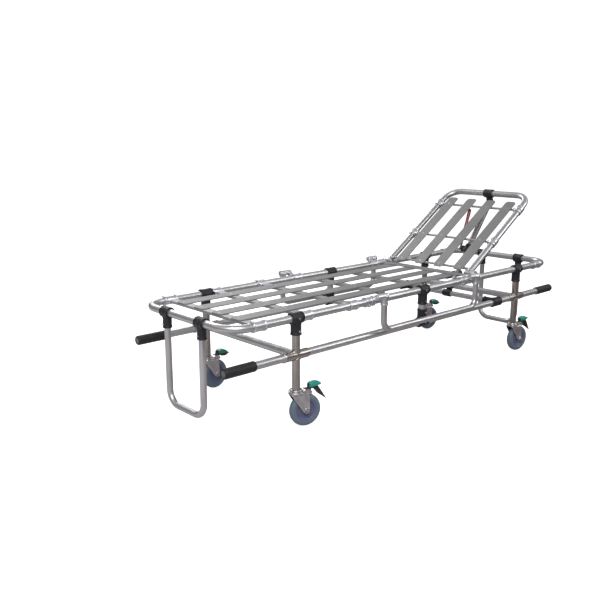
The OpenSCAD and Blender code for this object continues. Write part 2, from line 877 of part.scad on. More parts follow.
module fork_foot_right() {
    color("silver") at_caster(-leg_x, half_w, turn_foot_right) caster_fork();
}

module hub_foot_right() {
    color("#7c7898") at_caster(-leg_x, half_w, turn_foot_right) caster_hub();
}

module tyre_foot_right() {
    color("#59646f") at_caster(-leg_x, half_w, turn_foot_right) caster_tyre();
}

module pedal_foot_right() {
    color("teal") at_caster(-leg_x, half_w, turn_foot_right) caster_pedal(true);
}

module fork_head_left() {
    color("silver") at_caster(leg_x, -half_w, turn_head_left) caster_fork();
}

module hub_head_left() {
    color("#7c7898") at_caster(leg_x, -half_w, turn_head_left) caster_hub();
}

module tyre_head_left() {
    color("#59646f") at_caster(leg_x, -half_w, turn_head_left) caster_tyre();
}

module pedal_head_left() {
    color("teal") at_caster(leg_x, -half_w, turn_head_left) caster_pedal(false);
}

module fork_head_right() {
    color("silver") at_caster(leg_x, half_w, turn_head_right) caster_fork();
}

module hub_head_right() {
    color("#7c7898") at_caster(leg_x, half_w, turn_head_right) caster_hub();
}

module tyre_head_right() {
    color("#59646f") at_caster(leg_x, half_w, turn_head_right) caster_tyre();
}

module pedal_head_right() {
    color("teal") at_caster(leg_x, half_w, turn_head_right) caster_pedal(true);
}

rail_left();
rail_right();
foot_bow();
head_bow();
rail_couplers();
cross_tees();
cross_bars();
bed_slats();
slat_rivets();
leg_posts();
leg_clamps();
clamp_screws();
mid_posts();
mid_clamps();
pole_left();
pole_right();
pole_grips();
lower_cross_tubes();
cross_tube_clamps();
strut_foot_collar();
guard_brackets();
hinge_brackets();
pivot_pins();
caster_stems();
guard_left();
guard_right();
guard_elbows_left();
guard_elbows_right();
backrest_frame();
backrest_tees();
backrest_rods();
backrest_slats();
backrest_rivets();
strut_top_clamp();
strut_outer_tube();
release_head();
strut_inner_rod();
strut_foot();
release_lever();
lever_grip();
foot_stand();
foot_stand_clamps();
head_stand();
head_stand_clamps();
fork_foot_left();
hub_foot_left();
tyre_foot_left();
pedal_foot_left();
fork_foot_right();
hub_foot_right();
tyre_foot_right();
pedal_foot_right();
fork_head_left();
hub_head_left();
tyre_head_left();
pedal_head_left();
fork_head_right();
hub_head_right();
tyre_head_right();
pedal_head_right();
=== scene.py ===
"""The looks of the ambulance cot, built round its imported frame.

Shapes are worked out in millimetres and become metres when a piece is made. +X is the head end,
+Z is up, and the patient's left side is -Y. Tubes and turned parts are swept grids with UVs that
run along and round them in metres. Castings and mouldings are skins of signed distance fields,
which gives them true fillets.
"""
import math

import bmesh
import bpy
import numpy as np
from mathutils import Matrix, Vector


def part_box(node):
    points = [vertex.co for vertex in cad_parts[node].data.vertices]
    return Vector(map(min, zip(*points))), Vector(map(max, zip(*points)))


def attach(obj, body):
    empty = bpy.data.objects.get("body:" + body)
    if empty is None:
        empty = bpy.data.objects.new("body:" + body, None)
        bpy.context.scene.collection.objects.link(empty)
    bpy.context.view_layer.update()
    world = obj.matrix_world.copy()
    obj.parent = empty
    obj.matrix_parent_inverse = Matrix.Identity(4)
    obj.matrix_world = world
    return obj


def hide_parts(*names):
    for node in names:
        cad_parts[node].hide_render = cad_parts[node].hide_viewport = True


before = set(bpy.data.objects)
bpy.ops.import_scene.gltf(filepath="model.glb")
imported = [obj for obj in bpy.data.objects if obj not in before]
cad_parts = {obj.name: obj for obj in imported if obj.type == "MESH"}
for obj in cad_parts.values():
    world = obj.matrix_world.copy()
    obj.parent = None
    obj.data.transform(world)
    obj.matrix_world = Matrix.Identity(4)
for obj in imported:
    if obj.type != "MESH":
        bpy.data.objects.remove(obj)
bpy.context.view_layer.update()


def middle(node):
    """Centre of a CAD node's box, in millimetres."""
    low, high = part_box(node)
    return (low + high) * 500


# ---- driving dimensions, in millimetres ----

RAIL_D, POLE_D, BACK_D, STAND_D, GUARD_D, WALL = 30, 30, 30, 25, 25, 2
PIN_D = 8
FIT = 0.05              # how far a casting stands clear of the tube or pin in it
HALF_W = middle("rail_right").y
RAIL_Z = middle("rail_right").z
POLE_Z = middle("pole_right").z
LEG_X = 729
CROSS_X = 560
COUPLER_X = 905
BOW_X = 1024
BOW_R = 90
TIP_X = 1060

BAR_X = (-905, -679, -436, -180, 60, 347)
TEED = 3                # the cross bars at the foot end that reach tees on the rails
BAR_W, BAR_H = 36, 10
BAR_REACH, FREE_REACH = 256, 210
END_BAR_T, END_BAR_W, END_BAR_REACH, END_TONGUE_W = 4, 58, 218, 26
COUPLER_L, TEE_L, END_TEE_L = 56, 44, 34
SLAT_TOP = 428
SLAT_T = 4
SLAT_Y = (-172.5, -57.5, 57.5, 172.5)
SLAT_ENDS = (-925, 364)
SLAT_W = 60
RIVET_D, RIVET_H = 11, 0.8

SLEEVE_R = 18.2
LIP_R = 20.4
CLAMP_L = 52
CLAMP_DROP = 62
NECK_D = 40
STAND_NECK_D = 34
CLAMP_WALL = 5.6
CLAMP_SCREW = (9, 2.6)
CLAMP_SCREW_UP = 14     # of the lower clamp screw over its neck's end
PAD_PROUD = 1.2

GUARD_X = {"left": (-293, 330), "right": (-269, 354)}
BRACKET_SIDE = {"left": (-1, -1), "right": (1, -1)}
GUARD_Y = 320
GUARD_PIVOT_Z = 440

TILT = math.radians(33.4)
HINGE = Vector((385, 0, 433))
BACK_LEN = 595
BACK_HALF_W = 240
BACK_R = 75
ROD_D = 11
ROD_U = (30, 228, 480)
BACK_SLAT_ENDS = (8, 529)
BACK_SLAT_W = 56

NECK = Vector((14, 0, -44))
HEAD_S = 306
STRUT_D = 28
INNER_ROD_D = 20
COLLAR_D = 36
LEVER_Y = 51
LEVER_LEN = 212
LEVER_SPLAY = math.radians(17.6)
AXLE_UP = 13            # of the lever's axle over the release head's seat

STAND_Y = 111
STAND_LOW_Z = 62
STAND_R = 55

WHEEL_R = 62.5
TRAIL = 36
PEDAL_PIVOT = (50, 0, 138)
PEDAL_TRAVEL = math.radians(12)
CASTERS = ("foot_left", "foot_right", "head_left", "head_right")

X, Y, Z = Vector((1, 0, 0)), Vector((0, 1, 0)), Vector((0, 0, 1))
MIRROR_Y = Matrix.Diagonal((1, -1, 1, 1))
MIRROR_X = Matrix.Diagonal((-1, 1, 1, 1))


# ---- grids of quads ----

class Shape:
    """Points in millimetres, quads, and a UV in metres for each corner."""

    def __init__(self, points, quads, uv=None):
        self.points = np.asarray(points, float)
        self.quads = np.asarray(quads, int)
        self.uv = np.zeros((len(self.quads), 4, 2)) if uv is None else uv

    def at(self, matrix):
        """A moved copy; a mirrored one is turned inside out again."""
        m = np.array(matrix)
        quads, uv = self.quads, self.uv
        if np.linalg.det(m[:3, :3]) < 0:
            quads, uv = quads[:, ::-1], uv[:, ::-1]
        return Shape(self.points @ m[:3, :3].T + m[:3, 3], quads, uv)

    def to(self, x, y, z):
        """A copy carried along the axes."""
        return self.at(Matrix.Translation((x, y, z)))

    def __add__(self, other):
        return Shape(
            np.vstack([self.points, other.points]),
            np.vstack([self.quads, other.quads + len(self.points)]),
            np.vstack([self.uv, other.uv]),
        )


def total(shapes):
    """All the shapes as one."""
    shapes = list(shapes)
    joined = shapes[0]
    for shape in shapes[1:]:
        joined = joined + shape
    return joined


def sides(shape):
    """The shape and its mirror image on the patient's right."""
    return shape + shape.at(MIRROR_Y)


def corners(shape):
    """The shape, which stands at +X +Y, and its images in the other three quarters."""
    both = sides(shape)
    return both + both.at(MIRROR_X)


def grid(points, wrap_i, wrap_j, u, v):
    """Quads over an array of points, joined up round i and j where asked. u and v hold one more
    value than there are rows or columns where the grid is joined up."""
    rows, columns = points.shape[:2]
    i, j = np.meshgrid(
        np.arange(rows if wrap_i else rows - 1),
        np.arange(columns if wrap_j else columns - 1),
        indexing="ij",
    )
    i, j = i.ravel(), j.ravel()
    i1, j1 = (i + 1) % rows, (j + 1) % columns
    quads = np.stack([i * columns + j, i1 * columns + j, i1 * columns + j1, i * columns + j1], 1)
    u, v = np.asarray(u) / 1000, np.asarray(v) / 1000
    around = ((i, j), (i + 1, j), (i + 1, j + 1), (i, j + 1))
    uv = np.stack([np.stack([u[a], v[b]], 1) for a, b in around], 1)
    return Shape(points.reshape(-1, 3), quads, uv)


def running(points, closed=False):
    """Distance along a line of points, back to the first if it is closed."""
    points = np.asarray(points, float)
    if closed:
        points = np.vstack([points, points[:1]])
    return np.concatenate([[0], np.cumsum(np.linalg.norm(np.diff(points, axis=0), axis=1))])


def pipe(path, normal, d, wall=WALL, count=32):
    """Tube along a flat path, open at both ends, with its rims eased."""
    path, normal = np.asarray(path, float), np.asarray(normal, float)
    tangent = np.gradient(path, axis=0)
    tangent /= np.linalg.norm(tangent, axis=1)[:, None]
    ease = 0.5
    outer, inner = d / 2, d / 2 - wall
    last = len(path) - 1
    rim = [(0, 0, outer - ease), (0, ease, outer)]
    rim += [(k, 0, outer) for k in range(1, last)]
    rim += [(last, -ease, outer), (last, 0, outer - ease)]
    rim += [(last, 0, inner + ease), (last, -ease, inner)]
    rim += [(k, 0, inner) for k in range(last - 1, 0, -1)]
    rim += [(0, ease, inner), (0, 0, inner + ease)]
    turn = np.arange(count) * math.tau / count
    rows = []
    for k, push, r in rim:
        side = np.cross(tangent[k], normal)
        centre = path[k] + push * tangent[k]
        rows.append(centre + r * (np.cos(turn)[:, None] * side + np.sin(turn)[:, None] * normal))
    rows = np.array(rows)
    along = running(rows[:, 0], True)
    return grid(rows, True, True, along, np.arange(count + 1) * math.tau * outer / count)


def bar(a, b, d, wall=WALL, count=32):
    """Straight tube from a to b."""
    a, b = np.asarray(a, float), np.asarray(b, float)
    direction = (b - a) / np.linalg.norm(b - a)
    normal = np.cross(direction, (0, 0, 1) if abs(direction[2]) < 0.9 else (1, 0, 0))
    steps = np.linspace(0, 1, 5)[:, None]
    return pipe(a + steps * (b - a), normal / np.linalg.norm(normal), d, wall, count)


def u_path(reach, half, r, count=14):
    """A U in the XY plane: an arm from (0, -half), round corners, and an arm back to (0, half)."""
    turn = np.linspace(0, math.pi / 2, count)
    corner = np.stack([reach - r + r * np.sin(turn), -half + r - r * np.cos(turn), 0 * turn], 1)
    arm = np.linspace(0, reach - r, 6)[:-1]
    first = np.vstack([np.stack([arm, 0 * arm - half, 0 * arm], 1), corner])
    bridge = np.linspace(-half + r, half - r, 8)[1:-1]
    bridge = np.stack([0 * bridge + reach, bridge, 0 * bridge], 1)
    return np.vstack([first, bridge, first[::-1] * (1, -1, 1)])


def stand(point, direction):
    """Matrix that stands a shape's Z axis on a point, aimed along a direction."""
    turn = Vector(direction).to_track_quat("Z", "Y").to_matrix().to_4x4()
    return Matrix.Translation(Vector(point)) @ turn


def lathe(profile, count=48):
    """Turns a profile about Z. A profile point is (radius, height), or (radius, height, 6) where
    the radius is half the width across the flats of a hexagon. A profile that starts and ends
    off the axis is closed into a ring."""
    turn = np.arange(count) * math.tau / count
    rows = []
    for radius, height, *flats in profile:
        r = radius + 0 * turn
        if flats:
            sector = math.tau / flats[0]
            r = radius / np.cos((turn % sector) - sector / 2)
        rows.append(np.stack([r * np.cos(turn), r * np.sin(turn), 0 * turn + height], 1))
    ring = profile[0][0] > 0 and profile[-1][0] > 0
    outline = [(p[0], p[1], 0) for p in profile]
    girth = max(p[0] for p in profile) * math.tau
    across = np.linspace(0, girth, count + 1)
    shape = grid(np.array(rows), ring, True, running(outline, ring), across)
    return Shape(shape.points, shape.quads[:, ::-1], shape.uv[:, ::-1])


def eased(outline, r, steps=3):
    """A closed outline of (a, b) points with each corner rounded; r is one radius or a list."""
    points = [np.array(p, float) for p in outline]
    radii = r if hasattr(r, "__len__") else [r] * len(points)
    made = []
    for k, point in enumerate(points):
        before = points[k - 1] - point
        after = points[(k + 1) % len(points)] - point
        reach = min(radii[k], 0.45 * np.linalg.norm(before), 0.45 * np.linalg.norm(after))
        if reach <= 0:
            made.append(point)
            continue
        start = point + before / np.linalg.norm(before) * reach
        end = point + after / np.linalg.norm(after) * reach
        for t in np.linspace(0, 1, steps + 1):
            made.append((1 - t) ** 2 * start + 2 * t * (1 - t) * point + t ** 2 * end)
    return [tuple(p) for p in made]


def ring(inner, outer, low, high, ease=0.8, count=48):
    """Turned collar with eased edges."""
    return lathe(eased([(inner, low), (outer, low), (outer, high), (inner, high)], ease), count)


def socket_screw(d, height):
    """Round screw head with a hexagon socket; its seat is at z = 0."""
    r = d / 2
    profile = [(0, height * 0.35), (r * 0.42, height * 0.35, 6), (r * 0.45, height - 0.2, 6),
               (r * 0.6, height), (r * 0.85, height), (r, height - 0.7), (r, -1), (0, -1)]
    return lathe(profile, 24)


def hex_bolt(flats, height):
    """Hexagon bolt head on a washer; its seat is at z = 0."""
    r = flats / 2
    profile = [(0, height), (r * 0.86, height), (r, height - 0.8, 6), (r, 1.6, 6), (r * 1.1, 1.6),
               (r * 1.45, 1.4), (r * 1.5, 1), (r * 1.5, -1), (0, -1)]
    return lathe(profile, 24)


def dome(d, height):
    """Low rivet head; its seat is at z = 0."""
    r = d / 2
    turn = np.linspace(0, math.pi / 2, 6)
    profile = [(r * math.sin(t), height * math.cos(t)) for t in turn]
    return lathe(profile + [(r, -1), (0, -1)], 20)


def weld(points, r=1.6, ripple=0.22):
    """Closed weld bead along a loop of points."""
    points = np.asarray(points, float)
    ahead = np.roll(points, -1, 0) - np.roll(points, 1, 0)
    ahead /= np.linalg.norm(ahead, axis=1)[:, None]
    outward = points - points.mean(0)
    outward -= (outward * ahead).sum(1)[:, None] * ahead
    outward /= np.linalg.norm(outward, axis=1)[:, None]
    up = np.cross(ahead, outward)
    turn = np.arange(8) * math.tau / 8
    swell = r * (1 + ripple * np.sin(np.arange(len(points)) * math.tau / 4))
    rows = points[:, None] + swell[:, None, None] * (
        np.cos(turn)[None, :, None] * outward[:, None] + np.sin(turn)[None, :, None] * up[:, None])
    return grid(rows, True, True, running(points, True), np.linspace(0, math.tau * r, 9))


def saddle(r_branch, r_run, count=96):
    """The loop where a vertical round branch meets the top of a round bar along X."""
    turn = np.arange(count) * math.tau / count
    x, y = r_branch * np.cos(turn), r_branch * np.sin(turn)
    return np.stack([x, y, np.sqrt(np.maximum(r_run ** 2 - y ** 2, 0))], 1)


# ---- distance fields ----

def rounded(gaps, soft):
    """Distance to where slabs meet, their corners rounded; gaps are distances to the faces."""
    gaps = np.stack(gaps) + soft
    return np.linalg.norm(np.maximum(gaps, 0), axis=0) + np.minimum(gaps.max(0), 0) - soft


def rod(a, b, r, soft=1.0, ripple=(0, 1)):
    """Round bar from a to b. ripple is the depth and pitch of its ridges."""
    a, b = np.array(a, float), np.array(b, float)
    length = np.linalg.norm(b - a)
    axis = (b - a) / length

    def field(p):
        q = p - a
        t = q @ axis
        radial = np.linalg.norm(q - t[:, None] * axis, axis=1)
        edge = r + ripple[0] * np.cos(math.tau * t / ripple[1])
        return rounded([radial - edge, np.abs(t - length / 2) - length / 2], soft)
    return field


def spindle(axis, low, high, r, soft=1.0, ripple=(0, 1)):
    """Round bar along an axis through the origin."""
    return rod(np.array(axis) * low, np.array(axis) * high, r, soft, ripple)


def bore(axis, low, high, d):
    """Round hole for something of diameter d, along an axis through the origin."""
    return spindle(axis, low, high, d / 2 + FIT)


def block(low, high, soft=1.0, turn=None):
    """Box with rounded edges, turned about the origin by a matrix where asked."""
    low, high = np.array(low, float), np.array(high, float)

    def field(p):
        q = p if turn is None else p @ np.array(turn.to_3x3())
        return rounded(list((np.abs(q - (low + high) / 2) - (high - low) / 2).T), soft)
    return field


def plate(outline, low, high, soft=1.0, axis=1):
    """Outline in the two other axes, raised along one axis."""
    outline = np.array(outline, float)
    flat = [k for k in range(3) if k != axis]

    def field(p):
        q = p[:, flat]
        nearest = np.full(len(q), 1e9)
        inside = np.zeros(len(q), bool)
        for k in range(len(outline)):
            a, b = outline[k - 1], outline[k]
            edge = b - a
            t = np.clip(((q - a) @ edge) / (edge @ edge), 0, 1)
            nearest = np.minimum(nearest, np.linalg.norm(q - a - t[:, None] * edge, axis=1))
            crosses = (a[1] > q[:, 1]) != (b[1] > q[:, 1])
            rise = edge[1] if edge[1] else 1e-9
            inside ^= crosses & (q[:, 0] < edge[0] * (q[:, 1] - a[1]) / rise + a[0])
        across = np.where(inside, -nearest, nearest)
        thick = np.abs(p[:, axis] - (low + high) / 2) - (high - low) / 2
        return rounded([across, thick], soft)
    return field


def ball(centre, radii):
    """Ellipsoid."""
    centre, radii = np.array(centre, float), np.array(radii, float)
    return lambda p: (np.linalg.norm((p - centre) / radii, axis=1) - 1) * radii.min()


def join(*fields, soft=3.0):
    """Fields joined, with a fillet of that size."""
    def field(p):
        made = fields[0](p)
        for other in fields[1:]:
            d = other(p)
            h = np.clip(0.5 + 0.5 * (made - d) / soft, 0, 1)
            made = made * (1 - h) + d * h - soft * h * (1 - h)
        return made
    return field


def cut(body, *holes, soft=0.8):
    """Body with the holes taken out and their rims eased."""
    def field(p):
        made = body(p)
        for hole in holes:
            d = -hole(p)
            h = np.clip(0.5 - 0.5 * (made - d) / soft, 0, 1)
            made = made * (1 - h) + d * h + soft * h * (1 - h)
        return made
    return field


def meet(a, b, soft=0.8):
    """What two fields have in common."""
    return cut(a, lambda p: -b(p), soft=soft)


def skin(field, low, high, step=1.6):
    """Closed quads on the surface of a field, by surface nets that are then drawn onto it."""
    axes = [np.arange(a - 2 * step, b + 3 * step, step) for a, b in zip(low, high)]
    nodes = np.stack(np.meshgrid(*axes, indexing="ij"), -1)
    d = field(nodes.reshape(-1, 3)).reshape(nodes.shape[:3])
    cells = tuple(n - 1 for n in d.shape)
    place, count = np.zeros(cells + (3,)), np.zeros(cells)
    for axis in range(3):
        others = [k for k in range(3) if k != axis]
        for da in (0, 1):
            for db in (0, 1):
                start = [0, 0, 0]
                start[others[0]], start[others[1]] = da, db
                end = list(start)
                end[axis] = 1
                d0 = d[tuple(slice(s, s + n) for s, n in zip(start, cells))]
                d1 = d[tuple(slice(s, s + n) for s, n in zip(end, cells))]
                crossed = (d0 < 0) != (d1 < 0)
                t = np.where(crossed, d0 / np.where(crossed, d0 - d1, 1), 0)
                point = np.array(start, float) + t[..., None] * np.eye(3)[axis]
                place += crossed[..., None] * point
                count += crossed
    used = count > 0
    index = np.full(cells, -1)
    index[used] = np.arange(used.sum())
    corner = np.stack(np.meshgrid(*(a[:-1] for a in axes), indexing="ij"), -1)
    points = corner[used] + place[used] / count[used][:, None] * step
    quads = []
    for axis in range(3):
        b, c = (axis + 1) % 3, (axis + 2) % 3
        near = [slice(1, -1)] * 3
        near[axis] = slice(0, -1)
        far = list(near)
        far[axis] = slice(1, None)
        s0, s1 = d[tuple(near)] < 0, d[tuple(far)] < 0
        at = np.argwhere(s0 != s1)
        rising = s0[s0 != s1]
        at = at + np.array([0 if k == axis else 1 for k in range(3)])
        around = []
        for db, dc in ((-1, -1), (0, -1), (0, 0), (-1, 0)):
            cell = at.copy()
            cell[:, b] += db
            cell[:, c] += dc
            around.append(index[tuple(cell.T)])
        loop = np.stack(around, 1)
        quads.append(np.where(rising[:, None], loop, loop[:, ::-1]))
    reach = 0.1 * step
    for _ in range(3):
        slope = np.stack([(field(points + reach * e) - field(points - reach * e)) / (2 * reach)
                          for e in np.eye(3)], 1)
        steep = np.maximum((slope ** 2).sum(1), 0.25)
        move = field(points) / steep
        points = points - np.clip(move, -step / 2, step / 2)[:, None] * slope
    return Shape(points, np.vstack(quads))


# ---- pieces ----

def piece(name, shape, look, body, nodes=(), crease=35):
    """Makes an object of a shape, rides it on a body and hides the CAD nodes it stands for."""
    mesh = bpy.data.meshes.new(name)
    mesh.from_pydata((shape.points / 1000).tolist(), [], shape.quads.tolist())
    layer = mesh.uv_layers.new(name="UVMap")
    layer.data.foreach_set("uv", shape.uv.astype(np.float32).ravel())
    made = bmesh.new()
    made.from_mesh(mesh)
    bmesh.ops.remove_doubles(made, verts=made.verts, dist=2e-6)
    bmesh.ops.dissolve_degenerate(made, edges=made.edges, dist=1e-6)
    bmesh.ops.recalc_face_normals(made, faces=made.faces)
    made.to_mesh(mesh)
    made.free()
    mesh.polygons.foreach_set("use_smooth", [True] * len(mesh.polygons))
    mesh.set_sharp_from_angle(angle=math.radians(crease))
    mesh.materials.append(look)
    thing = bpy.data.objects.new(name, mesh)
    bpy.context.scene.collection.objects.link(thing)
    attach(thing, body)
    if nodes:
        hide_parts(*nodes)
    return thing


class Look:
    """A procedural material, built one node at a time."""

    def __init__(self, slot, name=None):
        self.material = bpy.data.materials.new(name or slot)
        self.material["slot"] = slot
        self.material.use_nodes = True
        self.tree = self.material.node_tree
        self.shader = self.tree.nodes["Principled BSDF"]
        self.coordinates = self.tree.nodes.new("ShaderNodeTexCoord")

    def node(self, kind, inputs, **settings):
        made = self.tree.nodes.new("ShaderNode" + kind)
        for key, value in settings.items():
            setattr(made, key, value)
        for key, value in inputs.items():
            if isinstance(value, bpy.types.NodeSocket):
                self.tree.links.new(value, made.inputs[key])
            else:
                made.inputs[key].default_value = value
        return made

    def noise(self, space, per_metre, detail=3.0):
        """Noise with its own number of waves per metre along each axis of a space."""
        place = self.coordinates.outputs[space]
        placed = self.node("Mapping", {"Vector": place, "Scale": per_metre})
        noise = {"Vector": placed.outputs[0], "Scale": 1.0, "Detail": detail}
        return self.node("TexNoise", noise).outputs["Fac"]

    def span(self, value, low, high, to_low, to_high):
        """Value spread from one range to another, and held inside it."""
        names = ("Value", "From Min", "From Max", "To Min", "To Max")
        spread = zip(names, (value, low, high, to_low, to_high))
        return self.node("MapRange", dict(spread)).outputs[0]

    def mix(self, factor, a, b):
        """Colour between a and b."""
        made = self.node("Mix", {"Factor": factor}, data_type="RGBA")
        for socket, value in ((made.inputs[6], a), (made.inputs[7], b)):
            if isinstance(value, bpy.types.NodeSocket):
                self.tree.links.new(value, socket)
            else:
                socket.default_value = (*value, 1)
        return made.outputs[2]

    def add(self, a, b):
        return self.node("Math", {0: a, 1: b}, operation="ADD").outputs[0]

    def edges(self, low=0.51, high=0.6):
        """1 along the sharp outer edges, where a piece is rubbed, and 0 elsewhere."""
        return self.span(self.node("NewGeometry", {}).outputs["Pointiness"], low, high, 0, 1)

    def finish(self, colour, roughness, height, depth, metallic=0.0, **inputs):
        """Sets the shader; depth is the bump's height in metres."""
        bump = self.node("Bump", {"Height": height, "Distance": depth, "Strength": 1.0})
        self.tree.links.new(colour, self.shader.inputs["Base Color"])
        self.tree.links.new(roughness, self.shader.inputs["Roughness"])
        self.tree.links.new(bump.outputs[0], self.shader.inputs["Normal"])
        self.shader.inputs["Metallic"].default_value = metallic
        for key, value in inputs.items():
            self.shader.inputs[key.replace("_", " ")].default_value = value
        return self.material


def drawn_metal(slot, colour, dull, rough, space="UV", lines=(5, 900, 900), metallic=1.0,
                name=None):
    """Drawn or rolled metal: fine lines one way, a faint cloudiness and a few rubbed patches."""
    look = Look(slot, name)
    fine = look.noise(space, lines, 4)
    cloud = look.noise("Object", (9, 9, 9), 3)
    rubbed = look.span(look.noise("Object", (60, 60, 60), 5), 0.6, 0.72, 0, 0.10)
    tone = look.add(look.span(cloud, 0.35, 0.65, 0, 0.7), look.span(fine, 0.3, 0.7, -0.12, 0.3))
    shade = look.mix(tone, colour, dull)
    gloss = look.add(look.span(fine, 0.3, 0.7, rough - 0.06, rough + 0.08), rubbed)
    return look.finish(shade, gloss, fine, 0.00004, metallic)


def cast_metal(slot, colour, dull, rough, metallic=1.0, name=None):
    """Tumbled casting: fine grain, soft blotches, and edges polished by handling."""
    look = Look(slot, name)
    grain = look.noise("Object", (1100, 1100, 1100), 3)
    blotch = look.noise("Object", (45, 45, 45), 4)
    shade = look.mix(look.span(blotch, 0.35, 0.65, 0, 1), colour, dull)
    bright = tuple(min(1.0, c * 1.25) for c in colour)
    shade = look.mix(look.edges(), shade, bright)
    gloss = look.add(look.span(grain, 0.3, 0.7, rough - 0.05, rough + 0.08),
                     look.span(blotch, 0.35, 0.65, 0, 0.06))
    height = look.add(grain, look.span(blotch, 0, 1, 0, 2))
    return look.finish(shade, gloss, height, 0.00012, metallic)


def moulding(slot, colour, worn, rough, grain_size=900, depth=0.00006, name=None, **inputs):
    """Moulded plastic or rubber: a fine grain, a slight unevenness, and paler rubbed edges."""
    look = Look(slot, name)
    grain = look.noise("Object", (grain_size,) * 3, 2)
    uneven = look.noise("Object", (35, 35, 35), 4)
    dust = look.span(uneven, 0.4, 0.75, 0, 0.35)
    shade = look.mix(dust, colour, worn)
    shade = look.mix(look.edges(0.52, 0.66), shade, worn)
    gloss = look.add(look.span(grain, 0.3, 0.7, rough - 0.05, rough + 0.06),
                     look.span(uneven, 0.35, 0.65, -0.03, 0.07))
    return look.finish(shade, gloss, look.add(grain, uneven), depth, **inputs)


ALUMINIUM = drawn_metal("aluminium_tube", (0.60, 0.60, 0.61), (0.48, 0.48, 0.49), 0.36)
BRIGHT_ROD = drawn_metal("aluminium_tube", (0.62, 0.62, 0.63), (0.50, 0.50, 0.51), 0.22,
                         name="rod_metal")
STRUT_TUBE = drawn_metal("aluminium_tube", (0.44, 0.42, 0.40), (0.34, 0.32, 0.30), 0.26,
                         name="strut_metal")
CASTING = cast_metal("cast_aluminium", (0.70, 0.71, 0.73), (0.56, 0.57, 0.59), 0.30)
SLAT = drawn_metal("slat_aluminium", (0.25, 0.25, 0.25), (0.21, 0.21, 0.21), 0.52, metallic=0.45)
CROSS_BAR = drawn_metal("slat_aluminium", (0.34, 0.335, 0.345), (0.27, 0.27, 0.28), 0.42,
                        "Object", (900, 5, 900), 0.6, "cross_bar_metal")
RIVET = cast_metal("rivet_steel", (0.42, 0.42, 0.43), (0.30, 0.30, 0.31), 0.32)
STAINLESS = drawn_metal("stainless_post", (0.42, 0.39, 0.36), (0.32, 0.29, 0.27), 0.22)
STRUT_STEEL = drawn_metal("strut_steel", (0.50, 0.50, 0.51), (0.36, 0.36, 0.37), 0.24)
CASTER_STEEL = cast_metal("caster_steel", (0.58, 0.57, 0.58), (0.44, 0.42, 0.43), 0.20)
DARK_STEEL = cast_metal("caster_steel", (0.10, 0.10, 0.095), (0.06, 0.06, 0.058), 0.36,
                        name="dark_steel")
NYLON = moulding("black_nylon", (0.006, 0.006, 0.009), (0.020, 0.020, 0.026), 0.44)
RUBBER = moulding("grip_rubber", (0.007, 0.007, 0.009), (0.020, 0.020, 0.024), 0.52, 700, 0.00010)
RED = moulding("red_grip", (0.22, 0.004, 0.015), (0.30, 0.02, 0.03), 0.34, 400, 0.00005,
               Coat_Weight=0.4)
HUB = moulding("hub_plastic", (0.11, 0.12, 0.21), (0.17, 0.18, 0.28), 0.36, 800, 0.00005)
TYRE = moulding("tyre_rubber", (0.11, 0.15, 0.19), (0.18, 0.22, 0.26), 0.50, 600, 0.00010)
TEAL = moulding("teal_plastic", (0.0, 0.24, 0.18), (0.02, 0.34, 0.27), 0.30, 700, 0.00004,
                Coat_Weight=0.3)
CAP_GREY = moulding("grip_rubber", (0.10, 0.10, 0.11), (0.16, 0.16, 0.17), 0.40,
                    name="end_cap_grey")


# ---- bed frame ----

def lips(tube_d, lip_r, half, *centres, ease=1.0):
    """Raised end rings along X round a tube."""
    lip = ring(tube_d / 2 + 0.2, lip_r, -half, half, ease)
    return total(lip.at(stand((x, 0, 0), X)) for x in centres)


def rail_tee(length, w=0, z=0, t=0):
    """Cast sleeve at the origin, with a boss towards +Y for a bar whose underside is at z."""
    half, lip_half = length / 2, 3.5
    body = spindle(X, -half, half, SLEEVE_R)
    if w:
        boss = block((-w / 2 - 4, 0, z - 3), (w / 2 + 4, 34, z + t + 3), 3)
        body = join(body, boss, soft=6)
    body = cut(body, bore(X, -length, length, RAIL_D))
    tee = skin(body, (-half - 2, -22, -22), (half + 2, 36, 22))
    return tee + lips(RAIL_D, LIP_R, lip_half, lip_half - half, half - lip_half, ease=1.4)


def bed_frame():
    for side, y in (("left", -HALF_W), ("right", HALF_W)):
        rail = bar((-COUPLER_X, y, RAIL_Z), (COUPLER_X, y, RAIL_Z), RAIL_D, count=40)
        piece("side_rail_" + side, rail, ALUMINIUM, "frame", ["rail_" + side])
    bow = pipe(u_path(BOW_X - COUPLER_X, HALF_W, BOW_R, 20), Z, RAIL_D, count=40)
    bow = bow.to(COUPLER_X, 0, RAIL_Z)
    piece("head_end_bow", bow, ALUMINIUM, "frame", ["head_bow"])
    piece("foot_end_bow", bow.at(MIRROR_X), ALUMINIUM, "frame", ["foot_bow"])

    def on_rail(shape, x):
        return sides(shape.to(x, -HALF_W, RAIL_Z))

    boss = (BAR_W, SLAT_TOP - SLAT_T - BAR_H - RAIL_Z, BAR_H)
    couplers = on_rail(rail_tee(COUPLER_L, *boss), -COUPLER_X)
    couplers = couplers + on_rail(rail_tee(COUPLER_L), COUPLER_X)
    piece("bow_couplers", couplers, CASTING, "frame", ["rail_couplers"])
    tees = total(on_rail(rail_tee(TEE_L, *boss), x) for x in BAR_X[1:TEED])
    end_tee = rail_tee(END_TEE_L, END_TONGUE_W, SLAT_TOP - RAIL_Z, END_BAR_T)
    piece("rail_tees", tees + on_rail(end_tee, BAR_X[-1]), CASTING, "frame", ["cross_tees"])


# ---- deck ----

